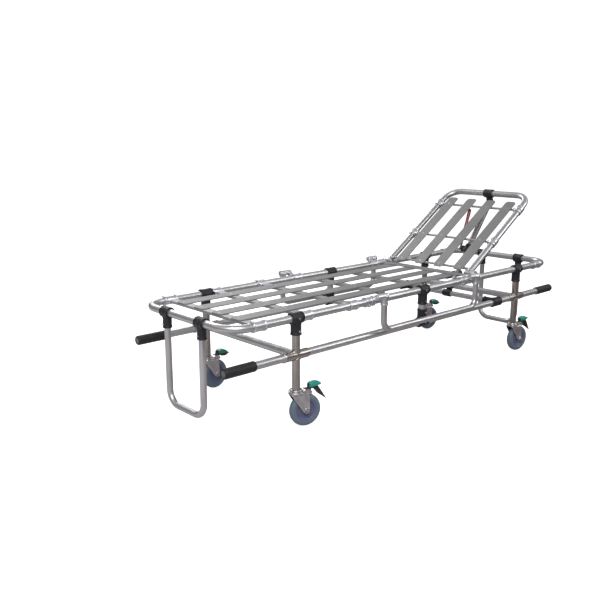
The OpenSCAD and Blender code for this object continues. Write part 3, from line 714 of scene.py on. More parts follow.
def slat(x0, x1, w):
    """Flat strip along X with its top at z = 0, eased edges, and cut corners at each end."""
    cut_back, e = 10, 0.7

    def section(x, half):
        flat = [(e - half, -SLAT_T), (half - e, -SLAT_T), (half, e - SLAT_T), (half, -e),
                (half - e, 0), (e - half, 0), (-half, -e), (-half, e - SLAT_T)]
        return np.column_stack([np.full(8, x), flat])

    xs = np.linspace(x0 + cut_back, x1 - cut_back, 12)
    first, final = section(x0, w / 2 - cut_back), section(x1, w / 2 - cut_back)
    rows = [first * 0 + first.mean(0), first, *[section(x, w / 2) for x in xs],
            final, final * 0 + final.mean(0)]
    girth = running(section(0, w / 2), True)
    return grid(np.array(rows), False, True, [x0, x0, *xs, x1, x1], girth)


def strip(x, width, reach, low, high):
    """Flat bar across the cot with eased edges."""
    half, e = width / 2, 0.8
    outline = [(x - half, -reach), (x + half, -reach), (x + half, reach), (x - half, reach)]
    outline = np.array(eased(outline, 3))
    heart = outline.mean(0)
    inward = (heart - outline) / np.linalg.norm(heart - outline, axis=1)[:, None]
    rows = [(heart + 0 * outline, low), (outline + e * inward, low), (outline, low + e),
            (outline, high - e), (outline + e * inward, high), (heart + 0 * outline, high)]
    rows = np.array([np.column_stack([flat, np.full(len(flat), z)]) for flat, z in rows])
    return grid(rows, False, True, range(len(rows)), running(outline, True))


def deck():
    slats = total(slat(*SLAT_ENDS, SLAT_W).to(0, y, SLAT_TOP) for y in SLAT_Y)
    piece("deck_slats", slats, SLAT, "frame", ["bed_slats"])
    tops = [SLAT_TOP] * (len(BAR_X) - 1) + [SLAT_TOP + END_BAR_T]
    head = dome(RIVET_D, RIVET_H)
    rivets = total(head.to(x, y, top) for x, top in zip(BAR_X, tops) for y in SLAT_Y)
    piece("deck_rivets", rivets, RIVET, "frame", ["slat_rivets"])
    top = SLAT_TOP - SLAT_T
    bars = [strip(x, BAR_W, BAR_REACH if k < TEED else FREE_REACH, top - BAR_H, top)
            for k, x in enumerate(BAR_X[:-1])]
    for width, reach, sunk in ((END_BAR_W, END_BAR_REACH, 0), (END_TONGUE_W, BAR_REACH, 0.1)):
        bars.append(strip(BAR_X[-1], width, reach, SLAT_TOP, SLAT_TOP + END_BAR_T - sunk))
    piece("deck_cross_bars", total(bars), CROSS_BAR, "frame", ["cross_bars"])


# ---- clamps, legs and poles ----

def t_clamp(run_d, branch_d, length, neck_d, drop):
    """Moulded T: a ridged collar along X round one tube, with a neck down to a branch."""
    half, collar_r, neck_r = length / 2, run_d / 2 + CLAMP_WALL, neck_d / 2
    lip, pad_r, screw_z = 1.1, 7, CLAMP_SCREW_UP - drop
    collar = spindle(X, -half, half, collar_r, 2.0, ripple=(0.45, 6.5))
    body = join(collar, spindle(Z, -drop, 0, neck_r, 1.5), soft=9)
    extras = [spindle(X, s * half, s * (half - 5), collar_r + lip, 1.2) for s in (-1, 1)]
    extras += [spindle(Z, -drop, -drop + 7, neck_r + lip, 1.2),
               spindle(Y, 0, -collar_r - PAD_PROUD, pad_r, 1.2),
               rod((0, 0, screw_z), (0, -neck_r - PAD_PROUD, screw_z), pad_r, 1.2)]
    body = cut(join(body, *extras, soft=2), bore(X, -length, length, run_d),
               bore(Z, -drop - 9, -run_d / 2 + 1, branch_d))
    wide = max(collar_r, neck_r) + 3
    return skin(body, (-half - 2, -wide, -drop - 2), (half + 2, wide, collar_r + 2))


def clamp_screws(run_d, neck_d, drop):
    """The two screws of a T-clamp, on its -Y side."""
    head = socket_screw(*CLAMP_SCREW)
    return (head.at(stand((0, -run_d / 2 - CLAMP_WALL - 0.8, 0), -Y))
            + head.at(stand((0, -neck_d / 2 - 0.8, CLAMP_SCREW_UP - drop), -Y)))


def legs():
    post_foot, socket, sleeve_half = 147, 16, 56
    post = bar((0, 0, post_foot), (0, 0, RAIL_Z - socket), POLE_D, count=40)
    sleeve_r = POLE_D / 2 + 2.5
    sleeve = ring(POLE_D / 2 + FIT, sleeve_r, -sleeve_half, sleeve_half, 0.8)
    sleeve = sleeve.at(stand((0, 0, POLE_Z), X))
    bead = weld(saddle(POLE_D / 2 + 0.6, sleeve_r + 0.2), 1.5)
    beads = total(bead.at(Matrix.Rotation(turn, 4, "X")) for turn in (0, math.pi, math.pi / 2))
    at_leg = (LEG_X, HALF_W, 0)
    piece("leg_tubes", corners((post + sleeve).to(*at_leg)), STAINLESS, "frame", ["leg_posts"])
    piece("leg_welds", corners(beads.to(0, 0, POLE_Z).to(*at_leg)), STAINLESS, "frame")
    at_leg = (LEG_X, -HALF_W, RAIL_Z)
    clamp = t_clamp(RAIL_D, POLE_D, CLAMP_L, NECK_D, CLAMP_DROP)
    screws = clamp_screws(RAIL_D, NECK_D, CLAMP_DROP)
    piece("leg_t_clamps", corners(clamp.to(*at_leg)), NYLON, "frame", ["leg_clamps"])

    mid = bar((0, -HALF_W, POLE_Z + socket), (0, -HALF_W, RAIL_Z - socket), POLE_D)
    piece("middle_posts", sides(mid), ALUMINIUM, "frame", ["mid_posts"])
    low_drop = CLAMP_DROP - 6
    flip = Matrix.Translation((0, -HALF_W, POLE_Z)) @ Matrix.Diagonal((1, 1, -1, 1))
    lower = t_clamp(POLE_D, POLE_D, CLAMP_L, NECK_D, low_drop).at(flip)
    upper = clamp.to(0, -HALF_W, RAIL_Z)
    piece("middle_t_clamps", sides(upper + lower), NYLON, "frame", ["mid_clamps"])
    low_screws = clamp_screws(POLE_D, NECK_D, low_drop).at(flip)
    heads = corners(screws.to(*at_leg)) + sides(screws.to(0, -HALF_W, RAIL_Z) + low_screws)
    piece("clamp_screw_heads", heads, RIVET, "frame", ["clamp_screws"])

    edge, strut_edge = HALF_W - sleeve_r - 0.1, HALF_W - 16
    cross = bar((LEG_X, -edge, POLE_Z), (LEG_X, edge, POLE_Z), POLE_D)
    strut_tube = bar((CROSS_X, -strut_edge, POLE_Z), (CROSS_X, strut_edge, POLE_Z), STAND_D)
    lower_tubes = cross + cross.at(MIRROR_X) + strut_tube
    piece("lower_cross_bars", lower_tubes, ALUMINIUM, "frame", ["lower_cross_tubes"])
    side_clamp = t_clamp(POLE_D, STAND_D, 60, STAND_NECK_D, CLAMP_DROP)
    side_clamp = side_clamp.at(Matrix.Rotation(math.pi / 2, 4, "X")).to(CROSS_X, -HALF_W, POLE_Z)
    piece("cross_t_clamps", sides(side_clamp), NYLON, "frame", ["cross_tube_clamps"])


def poles():
    ring_x, grip_len, grip_r, end_r, plug = -790, 135, 19, 6, 128
    band = ring(POLE_D / 2 - 0.2, POLE_D / 2 + 3.4, -4, 4, 1.2).at(stand((ring_x, 0, 0), X))
    pole = bar((5 - TIP_X, 0, 0), (TIP_X - 5, 0, 0), POLE_D, count=40) + band
    for side, y in (("left", -HALF_W), ("right", HALF_W)):
        piece("carrying_pole_" + side, pole.to(0, y, POLE_Z), ALUMINIUM, "frame", ["pole_" + side])

    bore_r, cap_r = POLE_D / 2 + FIT, 13.5
    turn = np.linspace(0, math.pi / 2, 8)
    core_r, core_h = grip_r - end_r, grip_len - end_r
    nose = [(core_r + end_r * math.cos(t), core_h + end_r * math.sin(t)) for t in turn]
    grooves = []
    for h in (8, 13, 18):
        low_r = grip_r - 0.8
        grooves += [(grip_r, h), (low_r, h + 0.8), (low_r, h + 1.8), (grip_r, h + 2.6)]
    profile = [(0, plug), (bore_r, plug), (bore_r, 0), (grip_r - 1.2, 0), (grip_r, 1.2)]
    profile += [*grooves, *nose, (cap_r + 0.6, grip_len), (cap_r, grip_len - 0.6),
                (cap_r, grip_len - 2), (0, grip_len - 2)]
    disc = [(0, -1), (cap_r - 0.3, -1), (cap_r - 0.3, 0.4), (cap_r - 1.2, 1.0),
            (cap_r - 3.5, 1.0), (cap_r - 4.2, 0.4), (0, 0.4)]
    for name, outline, x, look, nodes in (
            ("rubber_grips", profile, TIP_X - grip_len, RUBBER, ["pole_grips"]),
            ("grip_end_discs", disc, TIP_X - 2, CAP_GREY, [])):
        placed = corners(lathe(outline).at(stand((x, HALF_W, POLE_Z), X)))
        piece(name, placed, look, "frame", nodes)


# ---- side guards ----

def axes(origin, x_axis, y_axis):
    """Matrix with its X and Y axes along two directions."""
    x_axis, y_axis = Vector(x_axis), Vector(y_axis)
    turn = Matrix((x_axis, y_axis, x_axis.cross(y_axis))).transposed().to_4x4()
    return Matrix.Translation(Vector(origin)) @ turn


def guard_bracket():
    """Casting on a rail at the origin: a sleeve, and a lug out and up for the guard's pivot."""
    out, rise = HALF_W - GUARD_Y, GUARD_PIVOT_Z - RAIL_Z
    lug_r, lip_half = 12, 2.5
    lug = rod((17, out, rise), (46, out, rise), lug_r)
    lean = Matrix.Rotation(math.atan2(rise, out), 4, "X")
    web = block((25, 0, -8), (46, math.hypot(out, rise), 8), 3, lean)
    boss = rod((58, 0, 0), (58, -15, -13), 7.5, 1.5)
    body = join(join(spindle(X, 25, 73, SLEEVE_R + 0.2), web, lug, soft=6), boss, soft=3)
    hole = rod((0, out, rise), (90, out, rise), PIN_D / 2 + FIT)
    cast = skin(cut(body, bore(X, 0, 90, RAIL_D), hole), (15, out - 16, -22), (76, 22, rise + 14))
    return cast + lips(RAIL_D, LIP_R, lip_half, 25 + lip_half, 73 - lip_half)


def guard_elbow():
    """Casting on a guard's arm: a barrel on the pivot at the origin, and a socket below it."""
    socket_r, end = GUARD_D / 2 + 2.3, -36
    body = join(spindle(X, -16, 16, 12), spindle(Z, end, 2, socket_r, 3), soft=6)
    body = join(body, spindle(Z, end, end + 5, socket_r + 0.7, 1.2), soft=2)
    body = cut(body, bore(X, -20, 20, PIN_D), bore(Z, -45, -14, GUARD_D))
    return skin(body, (-18, -18, -38), (18, 18, 14), 1.5)


def guards():
    bracket, elbow, screw = guard_bracket(), guard_elbow(), socket_screw(5.5, 1.2)
    top, low, r = GUARD_PIVOT_Z - 14, 300, 40
    shaft = (bar((-16, 0, 0), (45, 0, 0), PIN_D, 3, 16)
             + hex_bolt(12, 4).at(stand((-17, 0, 0), -X))
             + hex_bolt(10, 3).at(stand((44, 0, 0), X)))
    clamp_bolt = hex_bolt(10, 3).at(stand((58, -15.2, -13.2), (0, -15, -13)))
    brackets, pins = [], []
    for side, flip in (("left", Matrix.Identity(4)), ("right", MIRROR_Y)):
        arms = GUARD_X[side]
        for x, toward in zip(arms, BRACKET_SIDE[side]):
            facing = MIRROR_X if toward < 0 else Matrix.Identity(4)
            on_rail = flip @ Matrix.Translation((x, -HALF_W, RAIL_Z)) @ facing
            on_pivot = flip @ Matrix.Translation((x, -GUARD_Y, GUARD_PIVOT_Z)) @ facing
            brackets.append(bracket.at(on_rail))
            pins += [shaft.at(on_pivot), clamp_bolt.at(on_rail)]
        place = axes((sum(arms) / 2, -GUARD_Y, top), -Z, X)
        loop = pipe(u_path(top - low, (arms[1] - arms[0]) / 2, r), Z, GUARD_D).at(place)
        elbows = total(elbow.to(x, -GUARD_Y, GUARD_PIVOT_Z) for x in arms)
        face = -GUARD_Y - GUARD_D / 2 - 1.6
        screws = total(screw.at(stand((x, face, GUARD_PIVOT_Z - down), -Y))
                       for x in arms for down in (19, 28))
        for name, shape, look, nodes in (
                ("guard_loop_", loop, ALUMINIUM, ["guard_" + side]),
                ("guard_elbow_castings_", elbows, CASTING, ["guard_elbows_" + side]),
                ("guard_elbow_screws_", screws, RIVET, [])):
            piece(name + side, shape.at(flip), look, "guard_" + side, nodes)
    piece("guard_bracket_castings", total(brackets), CASTING, "frame", ["guard_brackets"])
    seat = BACK_HALF_W - 16
    pin = bar((HINGE.x, 15 - HALF_W, HINGE.z), (HINGE.x, 0.5 - seat, HINGE.z), PIN_D, 3, 16)
    nut = hex_bolt(12, 4).at(stand((HINGE.x, -seat, HINGE.z), Y))
    piece("pivot_bolts", total(pins) + sides(pin + nut), RIVET, "frame", ["pivot_pins"])


# ---- backrest ----

BACKREST = Matrix.Translation(HINGE) @ Matrix.Rotation(-TILT, 4, "Y")


def hinge_bracket():
    """Casting on a rail at the origin: a sleeve, and a barrel inward over it for the hinge pin."""
    half, lip_half, rise = 20, 2.5, HINGE.z - RAIL_Z
    barrel_y = HALF_W - BACK_HALF_W - BACK_D / 2 - 2
    barrel = rod((0, 0, rise), (0, barrel_y, rise), 16.9)
    body = cut(join(spindle(X, -half, half, SLEEVE_R), barrel, soft=6), bore(X, -30, 30, RAIL_D),
               rod((0, 16, rise), (0, 40, rise), PIN_D / 2 + FIT))
    cast = skin(body, (-22, -22, -22), (22, barrel_y + 2, rise + 19))
    return cast + lips(RAIL_D, LIP_R, lip_half, lip_half - half, half - lip_half, ease=1.4)


def back_tee():
    """Casting on the backrest's tube at the origin, with a branch towards +Y for a rod."""
    half, lip_half, out = 21, 2.5, 30
    bulge = ball((0, 1, 0), (17, 19, 18.6))
    branch = spindle(Y, 0, out, ROD_D / 2 + 3.5)
    body = join(spindle(X, -half, half, BACK_D / 2 + 2.6), bulge, branch, soft=6)
    body = join(body, spindle(Y, out - 5, out, ROD_D / 2 + 4, 1.2), soft=2)
    body = cut(body, bore(X, -30, 30, BACK_D), bore(Y, 0, out + 4, ROD_D))
    tee = skin(body, (-23, -22, -21), (23, 32, 21), 1.5)
    return tee + lips(BACK_D, BACK_D / 2 + 4.2, lip_half, lip_half - half, half - lip_half)


def backrest():
    placed = sides(hinge_bracket().to(HINGE.x, -HALF_W, RAIL_Z))
    piece("hinge_bracket_castings", placed, CASTING, "frame", ["hinge_brackets"])

    tube = pipe(u_path(BACK_LEN, BACK_HALF_W, BACK_R, 20), Z, BACK_D, count=36)
    hub = ring(PIN_D / 2 + FIT, 17, -15.5, 15.5, 1.2).at(stand((0, -BACK_HALF_W, 0), Y))
    count, seam_x, seam_r = 72, 16.6, 14.8
    turn = np.arange(count) * math.tau / count
    seam = np.stack([np.full(count, seam_x), seam_r * np.cos(turn) - BACK_HALF_W,
                     seam_r * np.sin(turn)], 1)
    hoop = tube + sides(hub + weld(seam, 1.3))

    spots = [(u, -BACK_HALF_W, 0) for u in ROD_U[1:]]
    tee, screw = back_tee(), socket_screw(9, 2).at(stand((0, 1, 18), Z))
    tees, screws = (sides(total(shape.to(*spot) for spot in spots)) for shape in (tee, screw))
    reach = BACK_HALF_W - BACK_D / 2 - 0.1
    rods = total(bar((u, -reach, 0), (u, reach, 0), ROD_D, 3, 24) for u in ROD_U)
    face = ROD_D / 2 + SLAT_T
    slats = total(slat(*BACK_SLAT_ENDS, BACK_SLAT_W).to(0, y, face) for y in SLAT_Y)
    head = dome(RIVET_D, RIVET_H)
    rivets = total(head.to(u, y, face) for u in ROD_U for y in SLAT_Y)
    for name, shape, look, nodes in (
            ("backrest_tube", hoop, ALUMINIUM, ["backrest_frame"]),
            ("backrest_tee_castings", tees, CASTING, ["backrest_tees"]),
            ("backrest_tee_screws", screws, RIVET, []),
            ("backrest_cross_rods", rods, BRIGHT_ROD, ["backrest_rods"]),
            ("backrest_slat_strips", slats, SLAT, ["backrest_slats"]),
            ("backrest_rivet_heads", rivets, RIVET, ["backrest_rivets"])):
        piece(name, shape.at(BACKREST), look, "backrest", nodes)


# ---- strut ----

CROWN = BACKREST @ Vector((BACK_LEN, 0, 0))
STRUT_TOP = CROWN + NECK
STRUT_FOOT = Vector((CROSS_X, 0, POLE_Z))
STRUT_LEAN = math.atan2(STRUT_TOP.x - STRUT_FOOT.x, STRUT_TOP.z - STRUT_FOOT.z)
STRUT = Matrix.Translation(STRUT_TOP) @ Matrix.Rotation(STRUT_LEAN, 4, "Y")
RELEASE = STRUT @ Matrix.Translation((0, 0, -HEAD_S))
LEVER = RELEASE @ Matrix.Translation((0, 0, AXLE_UP)) @ Matrix.Rotation(-LEVER_SPLAY, 4, "Y")


def strut_top_clamp():
    """Moulded T on the backrest's top tube at the origin, with its neck down to the strut."""
    up = Vector((math.sin(STRUT_LEAN), 0, math.cos(STRUT_LEAN)))
    half, lip_half, neck_r = 24, 5, 17.9
    collar = spindle(Y, -half, half, BACK_D / 2 + 5.3, 2.0, ripple=(0.45, 6.5))
    ends = [spindle(Y, s * half, s * (half - lip_half), BACK_D / 2 + 5.9, 1.2) for s in (-1, 1)]
    body = join(join(collar, rod((0, 0, 0), NECK, 16.8), soft=6), *ends, soft=2)
    body = join(body, ball(NECK, (neck_r,) * 3), rod(NECK, NECK - up * 30, 17.5, 2), soft=3)
    body = cut(body, bore(Y, -30, 30, BACK_D),
               rod(NECK - up * 40, NECK - up * 3, STRUT_D / 2 + FIT))
    return skin(body, (-26, -26, -88), (34, 26, 23))


def release_head():
    """Moulding round the strut's lower end, with an arm along +Y that carries the lever."""
    barrel = spindle(Z, -12, 38, 18.6, 2, ripple=(0.35, 8))
    arm = block((-13.5, 0, 0), (13.5, LEVER_Y - 11.2, 2 * AXLE_UP), 4)
    boss = rod((0, 14, AXLE_UP), (0, LEVER_Y - 10.6, AXLE_UP), 8, 2)
    body = cut(join(barrel, arm, boss, soft=5), bore(Z, -20, 50, INNER_ROD_D),
               bore(Z, 0, 50, STRUT_D))
    return skin(body, (-20, -20, -14), (20, LEVER_Y - 8, 40))


def strut_shoe():
    """Moulded end of the inner rod, its underside at z = 0."""
    top = 44
    body = join(spindle(Z, 0, top, 15.5, 2), spindle(Z, 0, 5, 16.5, 1.2),
                spindle(Z, top - 6, top, 16.4, 1.5), soft=2)
    return skin(cut(body, bore(Z, 12, 60, INNER_ROD_D)), (-18, -18, -2), (18, 18, 46))


def lever():
    """Steel lever from its eye at z = 0, and its red grip."""
    mid_y, stem_y, strap_top = LEVER_Y - 6, LEVER_Y - 3, 84
    eye = ring(3.6, 8.5, -4, 4, 0.8, 32).at(stand((0, mid_y, 0), Y))
    strap = join(block((-6, LEVER_Y - 9, 0), (6, stem_y, strap_top), 1.5),
                 rod((0, mid_y, 74), (0, mid_y, 90), 5, 2), soft=4)
    strap = skin(strap, (-8, LEVER_Y - 12, -2), (8, LEVER_Y, 92), 1.3)
    stem = bar((0, stem_y, 78), (0, stem_y, LEVER_LEN - 8), 8, 3, 20)
    turn = np.linspace(0, math.pi / 2, 8)
    r, round_z, bore_r, bore_end = 8.5, 96.5, 4.05, 98
    profile = [(0, bore_end), (bore_r, bore_end), (bore_r, 0), (7.6, 0), (r, 1.5), (r, 5), (7.7, 8),
               (7.4, 30), (8.0, 60), (r, 84)]
    profile += [(r * math.cos(t), round_z + r * math.sin(t)) for t in turn]
    grip = lathe(profile, 32).to(0, stem_y, LEVER_LEN - round_z - r)
    return eye + strap + stem, grip


def strut():
    clamp = strut_top_clamp().to(*CROWN)
    piece("strut_top_t_clamp", clamp, NYLON, "strut_upper", ["strut_top_clamp"])
    outer = bar((0, 0, -HEAD_S), (0, 0, -3), STRUT_D, 3.5).at(STRUT)
    piece("strut_tube", outer, STRUT_TUBE, "strut_upper", ["strut_outer_tube"])
    head = release_head().at(RELEASE)
    piece("release_head_moulding", head, NYLON, "strut_upper", ["release_head"])
    axle_bar = bar((0, 10, AXLE_UP), (0, LEVER_Y + 0.5, AXLE_UP), 7, 2.5, 24)
    nut = ring(INNER_ROD_D / 2 + 0.4, 16, -16, -11, 1.0)
    piece("release_axle", (axle_bar + nut).at(RELEASE), STRUT_STEEL, "strut_upper")

    bottom = (STRUT_TOP - STRUT_FOOT).length - COLLAR_D / 2 - 3
    inner = bar((0, 0, 12 - bottom), (0, 0, -230), INNER_ROD_D, 3).at(STRUT)
    piece("telescopic_rod", inner, STRUT_STEEL, "strut_lower", ["strut_inner_rod"])
    shoe = strut_shoe().to(0, 0, -bottom).at(STRUT)
    piece("strut_shoe", shoe, NYLON, "strut_lower", ["strut_foot"])
    body = cut(spindle(Y, -22, 22, COLLAR_D / 2 - 0.5, 1.5, ripple=(0.4, 7)),
               bore(Y, -30, 30, STAND_D))
    sleeve = skin(body, (-20, -24, -20), (20, 24, 20)).to(*STRUT_FOOT)
    piece("strut_foot_sleeve", sleeve, NYLON, "frame", ["strut_foot_collar"])

    arm, grip = lever()
    piece("lever_arm", arm.at(LEVER), STRUT_STEEL, "release_lever", ["release_lever"])
    piece("lever_red_grip", grip.at(LEVER), RED, "release_lever", ["lever_grip"])


# ---- end stands ----

def end_stands():
    top, drop = RAIL_Z - 18, CLAMP_DROP - 3
    loop = pipe(u_path(top - STAND_LOW_Z, STAND_Y, STAND_R, 18), Z, STAND_D, count=36)
    loop = loop.at(axes((BOW_X, 0, top), -Z, Y))
    place = Matrix.Translation((BOW_X, -STAND_Y, RAIL_Z)) @ Matrix.Rotation(math.pi / 2, 4, "Z")
    clamps = sides(t_clamp(RAIL_D, STAND_D, 46, STAND_NECK_D, drop).at(place))
    seat = stand((0, -STAND_NECK_D / 2 - 0.8, CLAMP_SCREW_UP - drop), -Y)
    screws = sides(socket_screw(*CLAMP_SCREW).at(place @ seat))
    for end, flip in (("head", Matrix.Identity(4)), ("foot", MIRROR_X)):
        body = end + "_stand"
        piece(body + "_loop", loop.at(flip), ALUMINIUM, body, [body])
        piece(body + "_t_clamps", clamps.at(flip), NYLON, body, [body + "_clamps"])
        piece(body + "_screws", screws.at(flip), RIVET, body)


# ---- casters ----

def swivel_stack():
    """Turned cap under each leg, that stays with the frame."""
    outline = [(12.8, 142.2), (24, 142.2), (24, 145), (21, 147.4), (13.6, 147.4), (13.6, 151),
               (12.8, 151)]
    cap = lathe(eased(outline, [0.3, 1, 1.5, 1.2, 1.2, 0.6, 0.3]))
    pin = lathe([(0, 124), (9, 124), (9, 127.5), (6, 127.5), (6, 143), (0, 143)], 32)
    return cap + pin


def race():
    """Swivel bearing: two polished rings with a groove between them."""
    rings = ((28.5, 130.8, 136.6, 1.6), (26.6, 136.3, 137.8, 0.3), (29, 137.5, 141.8, 1.4))
    return total(ring(6.2, *rest, 64) for rest in rings)


def fork():
    """Pressed fork: two cheeks under a rounded top, with the brake's open housing behind."""
    outline = [(-25, 131), (-22, 122), (21, 58), (30, 49), (42, 49), (50, 58), (50, 112), (44, 131)]
    inner = [(-60, 90), (-40, 128), (42, 128), (80, 90), (80, 20), (-60, 20)]
    body = cut(plate(outline, -21.5, 21.5, 5), plate(inner, -18.5, 18.5, 2.5))
    housing = plate([(22, 126), (24, 141), (32, 144), (54, 142), (61, 131), (56, 118), (44, 112)],
                    -15.5, 15.5, 2)
    housing = cut(housing, block((38, -10.5, 100), (70, 10.5, 150), 1),
                  block((20, -30, 90), (47, 30, 127.5), 1))
    pads = [rod((TRAIL, s * 19, WHEEL_R), (TRAIL, s * 23, WHEEL_R), 11, 1.2) for s in (-1, 1)]
    body = cut(join(join(body, housing, soft=2), *pads, soft=2), spindle(Z, 120, 150, 6.3))
    body = cut(body, block((-60, -18.4, 30), (90, 18.4, 125.6), 1))
    return skin(body, (-27, -25, 46), (64, 25, 146), 1.3)


def axle():
    """Axle, its bushes, bolt head and nut."""
    parts = [bar((TRAIL, -22, WHEEL_R), (TRAIL, 22, WHEEL_R), 8, 3.9, 24)]
    bush, head = ring(4.1, 9, 14.4, 18.6, 0.6, 32), hex_bolt(13, 6)
    for side in (Y, -Y):
        parts.append(bush.at(stand((TRAIL, 0, WHEEL_R), side)))
        parts.append(head.at(stand(Vector((TRAIL, 0, WHEEL_R)) + side * 23, side)))
    return total(parts)


def hub():
    """Moulded wheel centre: a boss, a dished web with two raised rings, and a rim."""
    half = [(4.2, 14), (12, 14), (14.5, 12), (15.5, 7), (19, 6), (20.5, 8.4), (23.5, 8.4),
            (25, 5.6), (30, 5.2), (31, 7), (33.5, 7), (35, 6.2), (36.5, 11), (38.5, 12.6),
            (44, 12.6)]
    profile = half + [(r, -h) for r, h in reversed(half)]
    return lathe(eased(profile, 0.9, 2), 72).at(stand((TRAIL, 0, WHEEL_R), Y))


def tyre():
    """Tyre with a crowned tread, round shoulders and a raised line on each wall."""
    half = [(43.9, 13.4), (46, 14.4), (47.2, 15), (48.4, 15), (49.6, 14.4), (54, 14), (58, 12.4),
            (60.6, 9.6), (61.8, 6), (WHEEL_R - 0.15, 3)]
    profile = half + [(WHEEL_R, 0)] + [(r, -h) for r, h in reversed(half)]
    return lathe(eased(profile, 1.2, 2), 96).at(stand((TRAIL, 0, WHEEL_R), Y))


def pedal_cap():
    """Teal foot cap round the pivot at the origin: a hooded shell with a beak over the tongue."""
    side = eased([(0, 11), (2, 22), (12, 31), (32, 31.5), (49, 23.5), (47, 18), (32, 15), (16, 12)],
                 [2, 4, 5, 8, 2, 2, 6, 4], 4)
    body = meet(plate(side, -15, 15, 3), ball((24, 0, -18), (75, 34, 50)), soft=3)
    grooves = [rod((x, -20, 33.4), (x, 20, 33.4), 1.5, 0.5) for x in (14, 21, 28)]
    return skin(cut(body, *grooves, soft=1.2), (-2, -17, 9), (52, 17, 34), 1.1)


def pedal_lever(locked):
    """Steel pedal body round the pivot: a boss, an arm, and a pointed tongue down the back."""
    boss = spindle(Y, -9.3, 9.3, 6.8, 1)
    arm = plate([(-3, 5), (2, 22), (10, 22), (11, 8), (6, -4)], -8.5, 8.5, 1.5)
    points = [(4, 9), (34, 15), (47, -3), (78, -48), (41, -21), (22, 3)]
    if locked:
        points = [(4, 6), (28, 12), (44, 9), (74, 1), (42, -6), (20, -3)]
    tip = points[3][0]
    taper = plate([(0, -12.5), (38, -12.5), (tip, -1.5), (tip, 1.5), (38, 12.5), (0, 12.5)],
                  -60, 30, axis=2)
    body = join(boss, arm, meet(plate(points, -12, 12, 1.0), taper), soft=2)
    return skin(cut(body, spindle(Y, -20, 20, 3.1)), (-9, -14, -52), (81, 14, 26), 1.2)


def casters():
    stack = corners(swivel_stack().to(LEG_X, HALF_W, 0))
    piece("swivel_caps", stack, CASTER_STEEL, "frame", ["caster_stems"])
    shapes = {"fork_shell": (fork(), CASTER_STEEL, "caster_", "fork_"),
              "swivel_race": (race(), CASTER_STEEL, "caster_", None),
              "wheel_axle": (axle(), RIVET, "caster_", None),
              "wheel_hub": (hub(), HUB, "wheel_", "hub_"),
              "wheel_tyre": (tyre(), TYRE, "wheel_", "tyre_")}
    cap = pedal_cap()
    arms = {side: pedal_lever(side == "right") for side in ("left", "right")}
    for where in CASTERS:
        end, side = where.split("_")
        x = -LEG_X if end == "foot" else LEG_X
        y = -HALF_W if side == "left" else HALF_W
        wheel = middle("tyre_" + where)
        turn = math.atan2(wheel.y - y, wheel.x - x)
        place = Matrix.Translation((x, y, 0)) @ Matrix.Rotation(turn, 4, "Z")
        for name, (shape, look, body, node) in shapes.items():
            nodes = [node + where] if node else []
            piece(f"{name}_{where}", shape.at(place), look, body + where, nodes)
        pivot = place @ Matrix.Translation(PEDAL_PIVOT)
        pressed = pivot @ Matrix.Rotation(PEDAL_TRAVEL if side == "right" else 0, 4, "Y")
        body = "pedal_" + where
        piece("brake_cap_" + where, cap.at(pressed), TEAL, body, [body])
        piece("brake_lever_" + where, arms[side].at(pivot), DARK_STEEL, body)


# ---- stage ----

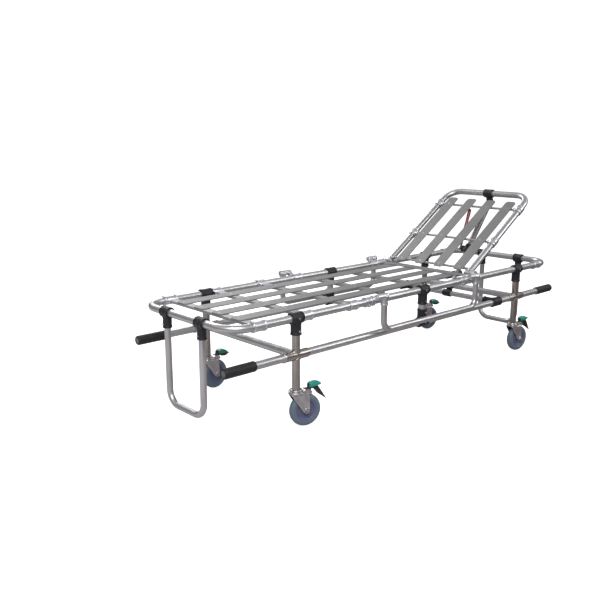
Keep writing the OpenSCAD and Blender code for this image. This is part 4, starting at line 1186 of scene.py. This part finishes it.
def stage():
    """Pale floor and studio light. The camera sees both as one plain white; what the metal
    mirrors is dimmer, and darker towards the side away from the key light."""
    line = np.linspace(-30000, 30000, 40)
    flat = np.stack(np.meshgrid(line, line, indexing="ij"), -1)
    flat = np.concatenate([flat, np.full(flat.shape[:2] + (1,), -0.5)], -1)
    shape = grid(flat, False, False, line, line)
    mesh = bpy.data.meshes.new("floor")
    mesh.from_pydata((shape.points / 1000).tolist(), [], shape.quads.tolist())
    floor = bpy.data.objects.new("floor", mesh)
    bpy.context.scene.collection.objects.link(floor)
    look = Look("floor")
    place = look.node("SeparateXYZ", {0: look.coordinates.outputs["Object"]})
    across = look.node("Math", {0: place.outputs[0], 1: 0.738}, operation="MULTIPLY").outputs[0]
    across = {0: place.outputs[1], 1: -0.675, 2: across}
    across = look.node("Math", across, operation="MULTIPLY_ADD").outputs[0]
    # painted shade and painted reflection: for every ray but the camera's, the floor's colour runs
    # from pale grey to a dark pinkish grey towards the side away from the key light, so the metal
    # mirrors a shaded floor
    tone = look.mix(look.span(across, -2.0, 1.6, 0, 1), (0.72, 0.70, 0.71), (0.22, 0.19, 0.19))
    seen = look.node("LightPath", {}).outputs["Is Camera Ray"]
    tone = look.mix(seen, tone, (0.86, 0.86, 0.86))
    inputs = look.shader.inputs
    look.tree.links.new(tone, inputs["Base Color"])
    look.tree.links.new(look.mix(seen, (0, 0, 0), (1, 1, 1)), inputs["Emission Color"])
    for key, value in (("Roughness", 0.9), ("Emission Strength", 0.68), ("Specular IOR Level", 0)):
        inputs[key].default_value = value
    mesh.materials.append(look.material)

    world = bpy.data.worlds.new("studio")
    bpy.context.scene.world = world
    world.use_nodes = True
    nodes, links = world.node_tree.nodes, world.node_tree.links
    coordinates = nodes.new("ShaderNodeTexCoord")
    split = nodes.new("ShaderNodeSeparateXYZ")
    links.new(coordinates.outputs["Generated"], split.inputs[0])
    height = nodes.new("ShaderNodeValToRGB")
    links.new(split.outputs["Z"], height.inputs[0])
    stops = height.color_ramp.elements
    stops[0].position, stops[0].color = 0.0, (0.16, 0.155, 0.16, 1)
    stops[1].position, stops[1].color = 1.0, (0.40, 0.40, 0.42, 1)
    for position, grey in ((0.25, 0.24), (0.5, 0.62), (0.75, 0.66), (0.86, 0.42)):
        stops.new(position).color = (grey, grey, grey * 1.03, 1)
    seen = nodes.new("ShaderNodeLightPath")
    mix = nodes.new("ShaderNodeMix")
    mix.data_type = "RGBA"
    links.new(seen.outputs["Is Camera Ray"], mix.inputs["Factor"])
    links.new(height.outputs[0], mix.inputs[6])
    mix.inputs[7].default_value = (1.05, 1.05, 1.05, 1)
    links.new(mix.outputs[2], nodes["Background"].inputs["Color"])

    for name, place, aim, size, watts in (
            ("key_light", (-2.6, -2.2, 3.0), (0, 0, 0.4), (2.4, 1.6), 110),
            ("fill_light", (2.6, -2.6, 2.2), (0, 0, 0.3), (1.6, 1.6), 30),
            ("back_light", (0.5, 3.2, 2.6), (0, 0, 0.4), (3.0, 1.2), 55)):
        data = bpy.data.lights.new(name, "AREA")
        data.shape, data.size, data.size_y, data.energy = "RECTANGLE", *size, watts
        lamp = bpy.data.objects.new(name, data)
        lamp.location = place
        lamp.rotation_euler = (Vector(aim) - Vector(place)).to_track_quat("-Z", "Y").to_euler()
        bpy.context.scene.collection.objects.link(lamp)


def camera():
    data = bpy.data.cameras.new("camera")
    data.sensor_width, data.lens = 36, 44.4
    eye = bpy.data.objects.new("camera", data)
    eye.location = (-2.4675, -2.2030, 1.0733)
    eye.rotation_euler = (math.radians(90 - 12.8), 0, math.radians(47.56 - 90))
    bpy.context.scene.collection.objects.link(eye)
    bpy.context.scene.camera = eye


bpy.context.scene.view_settings.view_transform = "Standard"
camera()
stage()
bed_frame()
deck()
legs()
poles()
guards()
backrest()
strut()
end_stands()
casters()
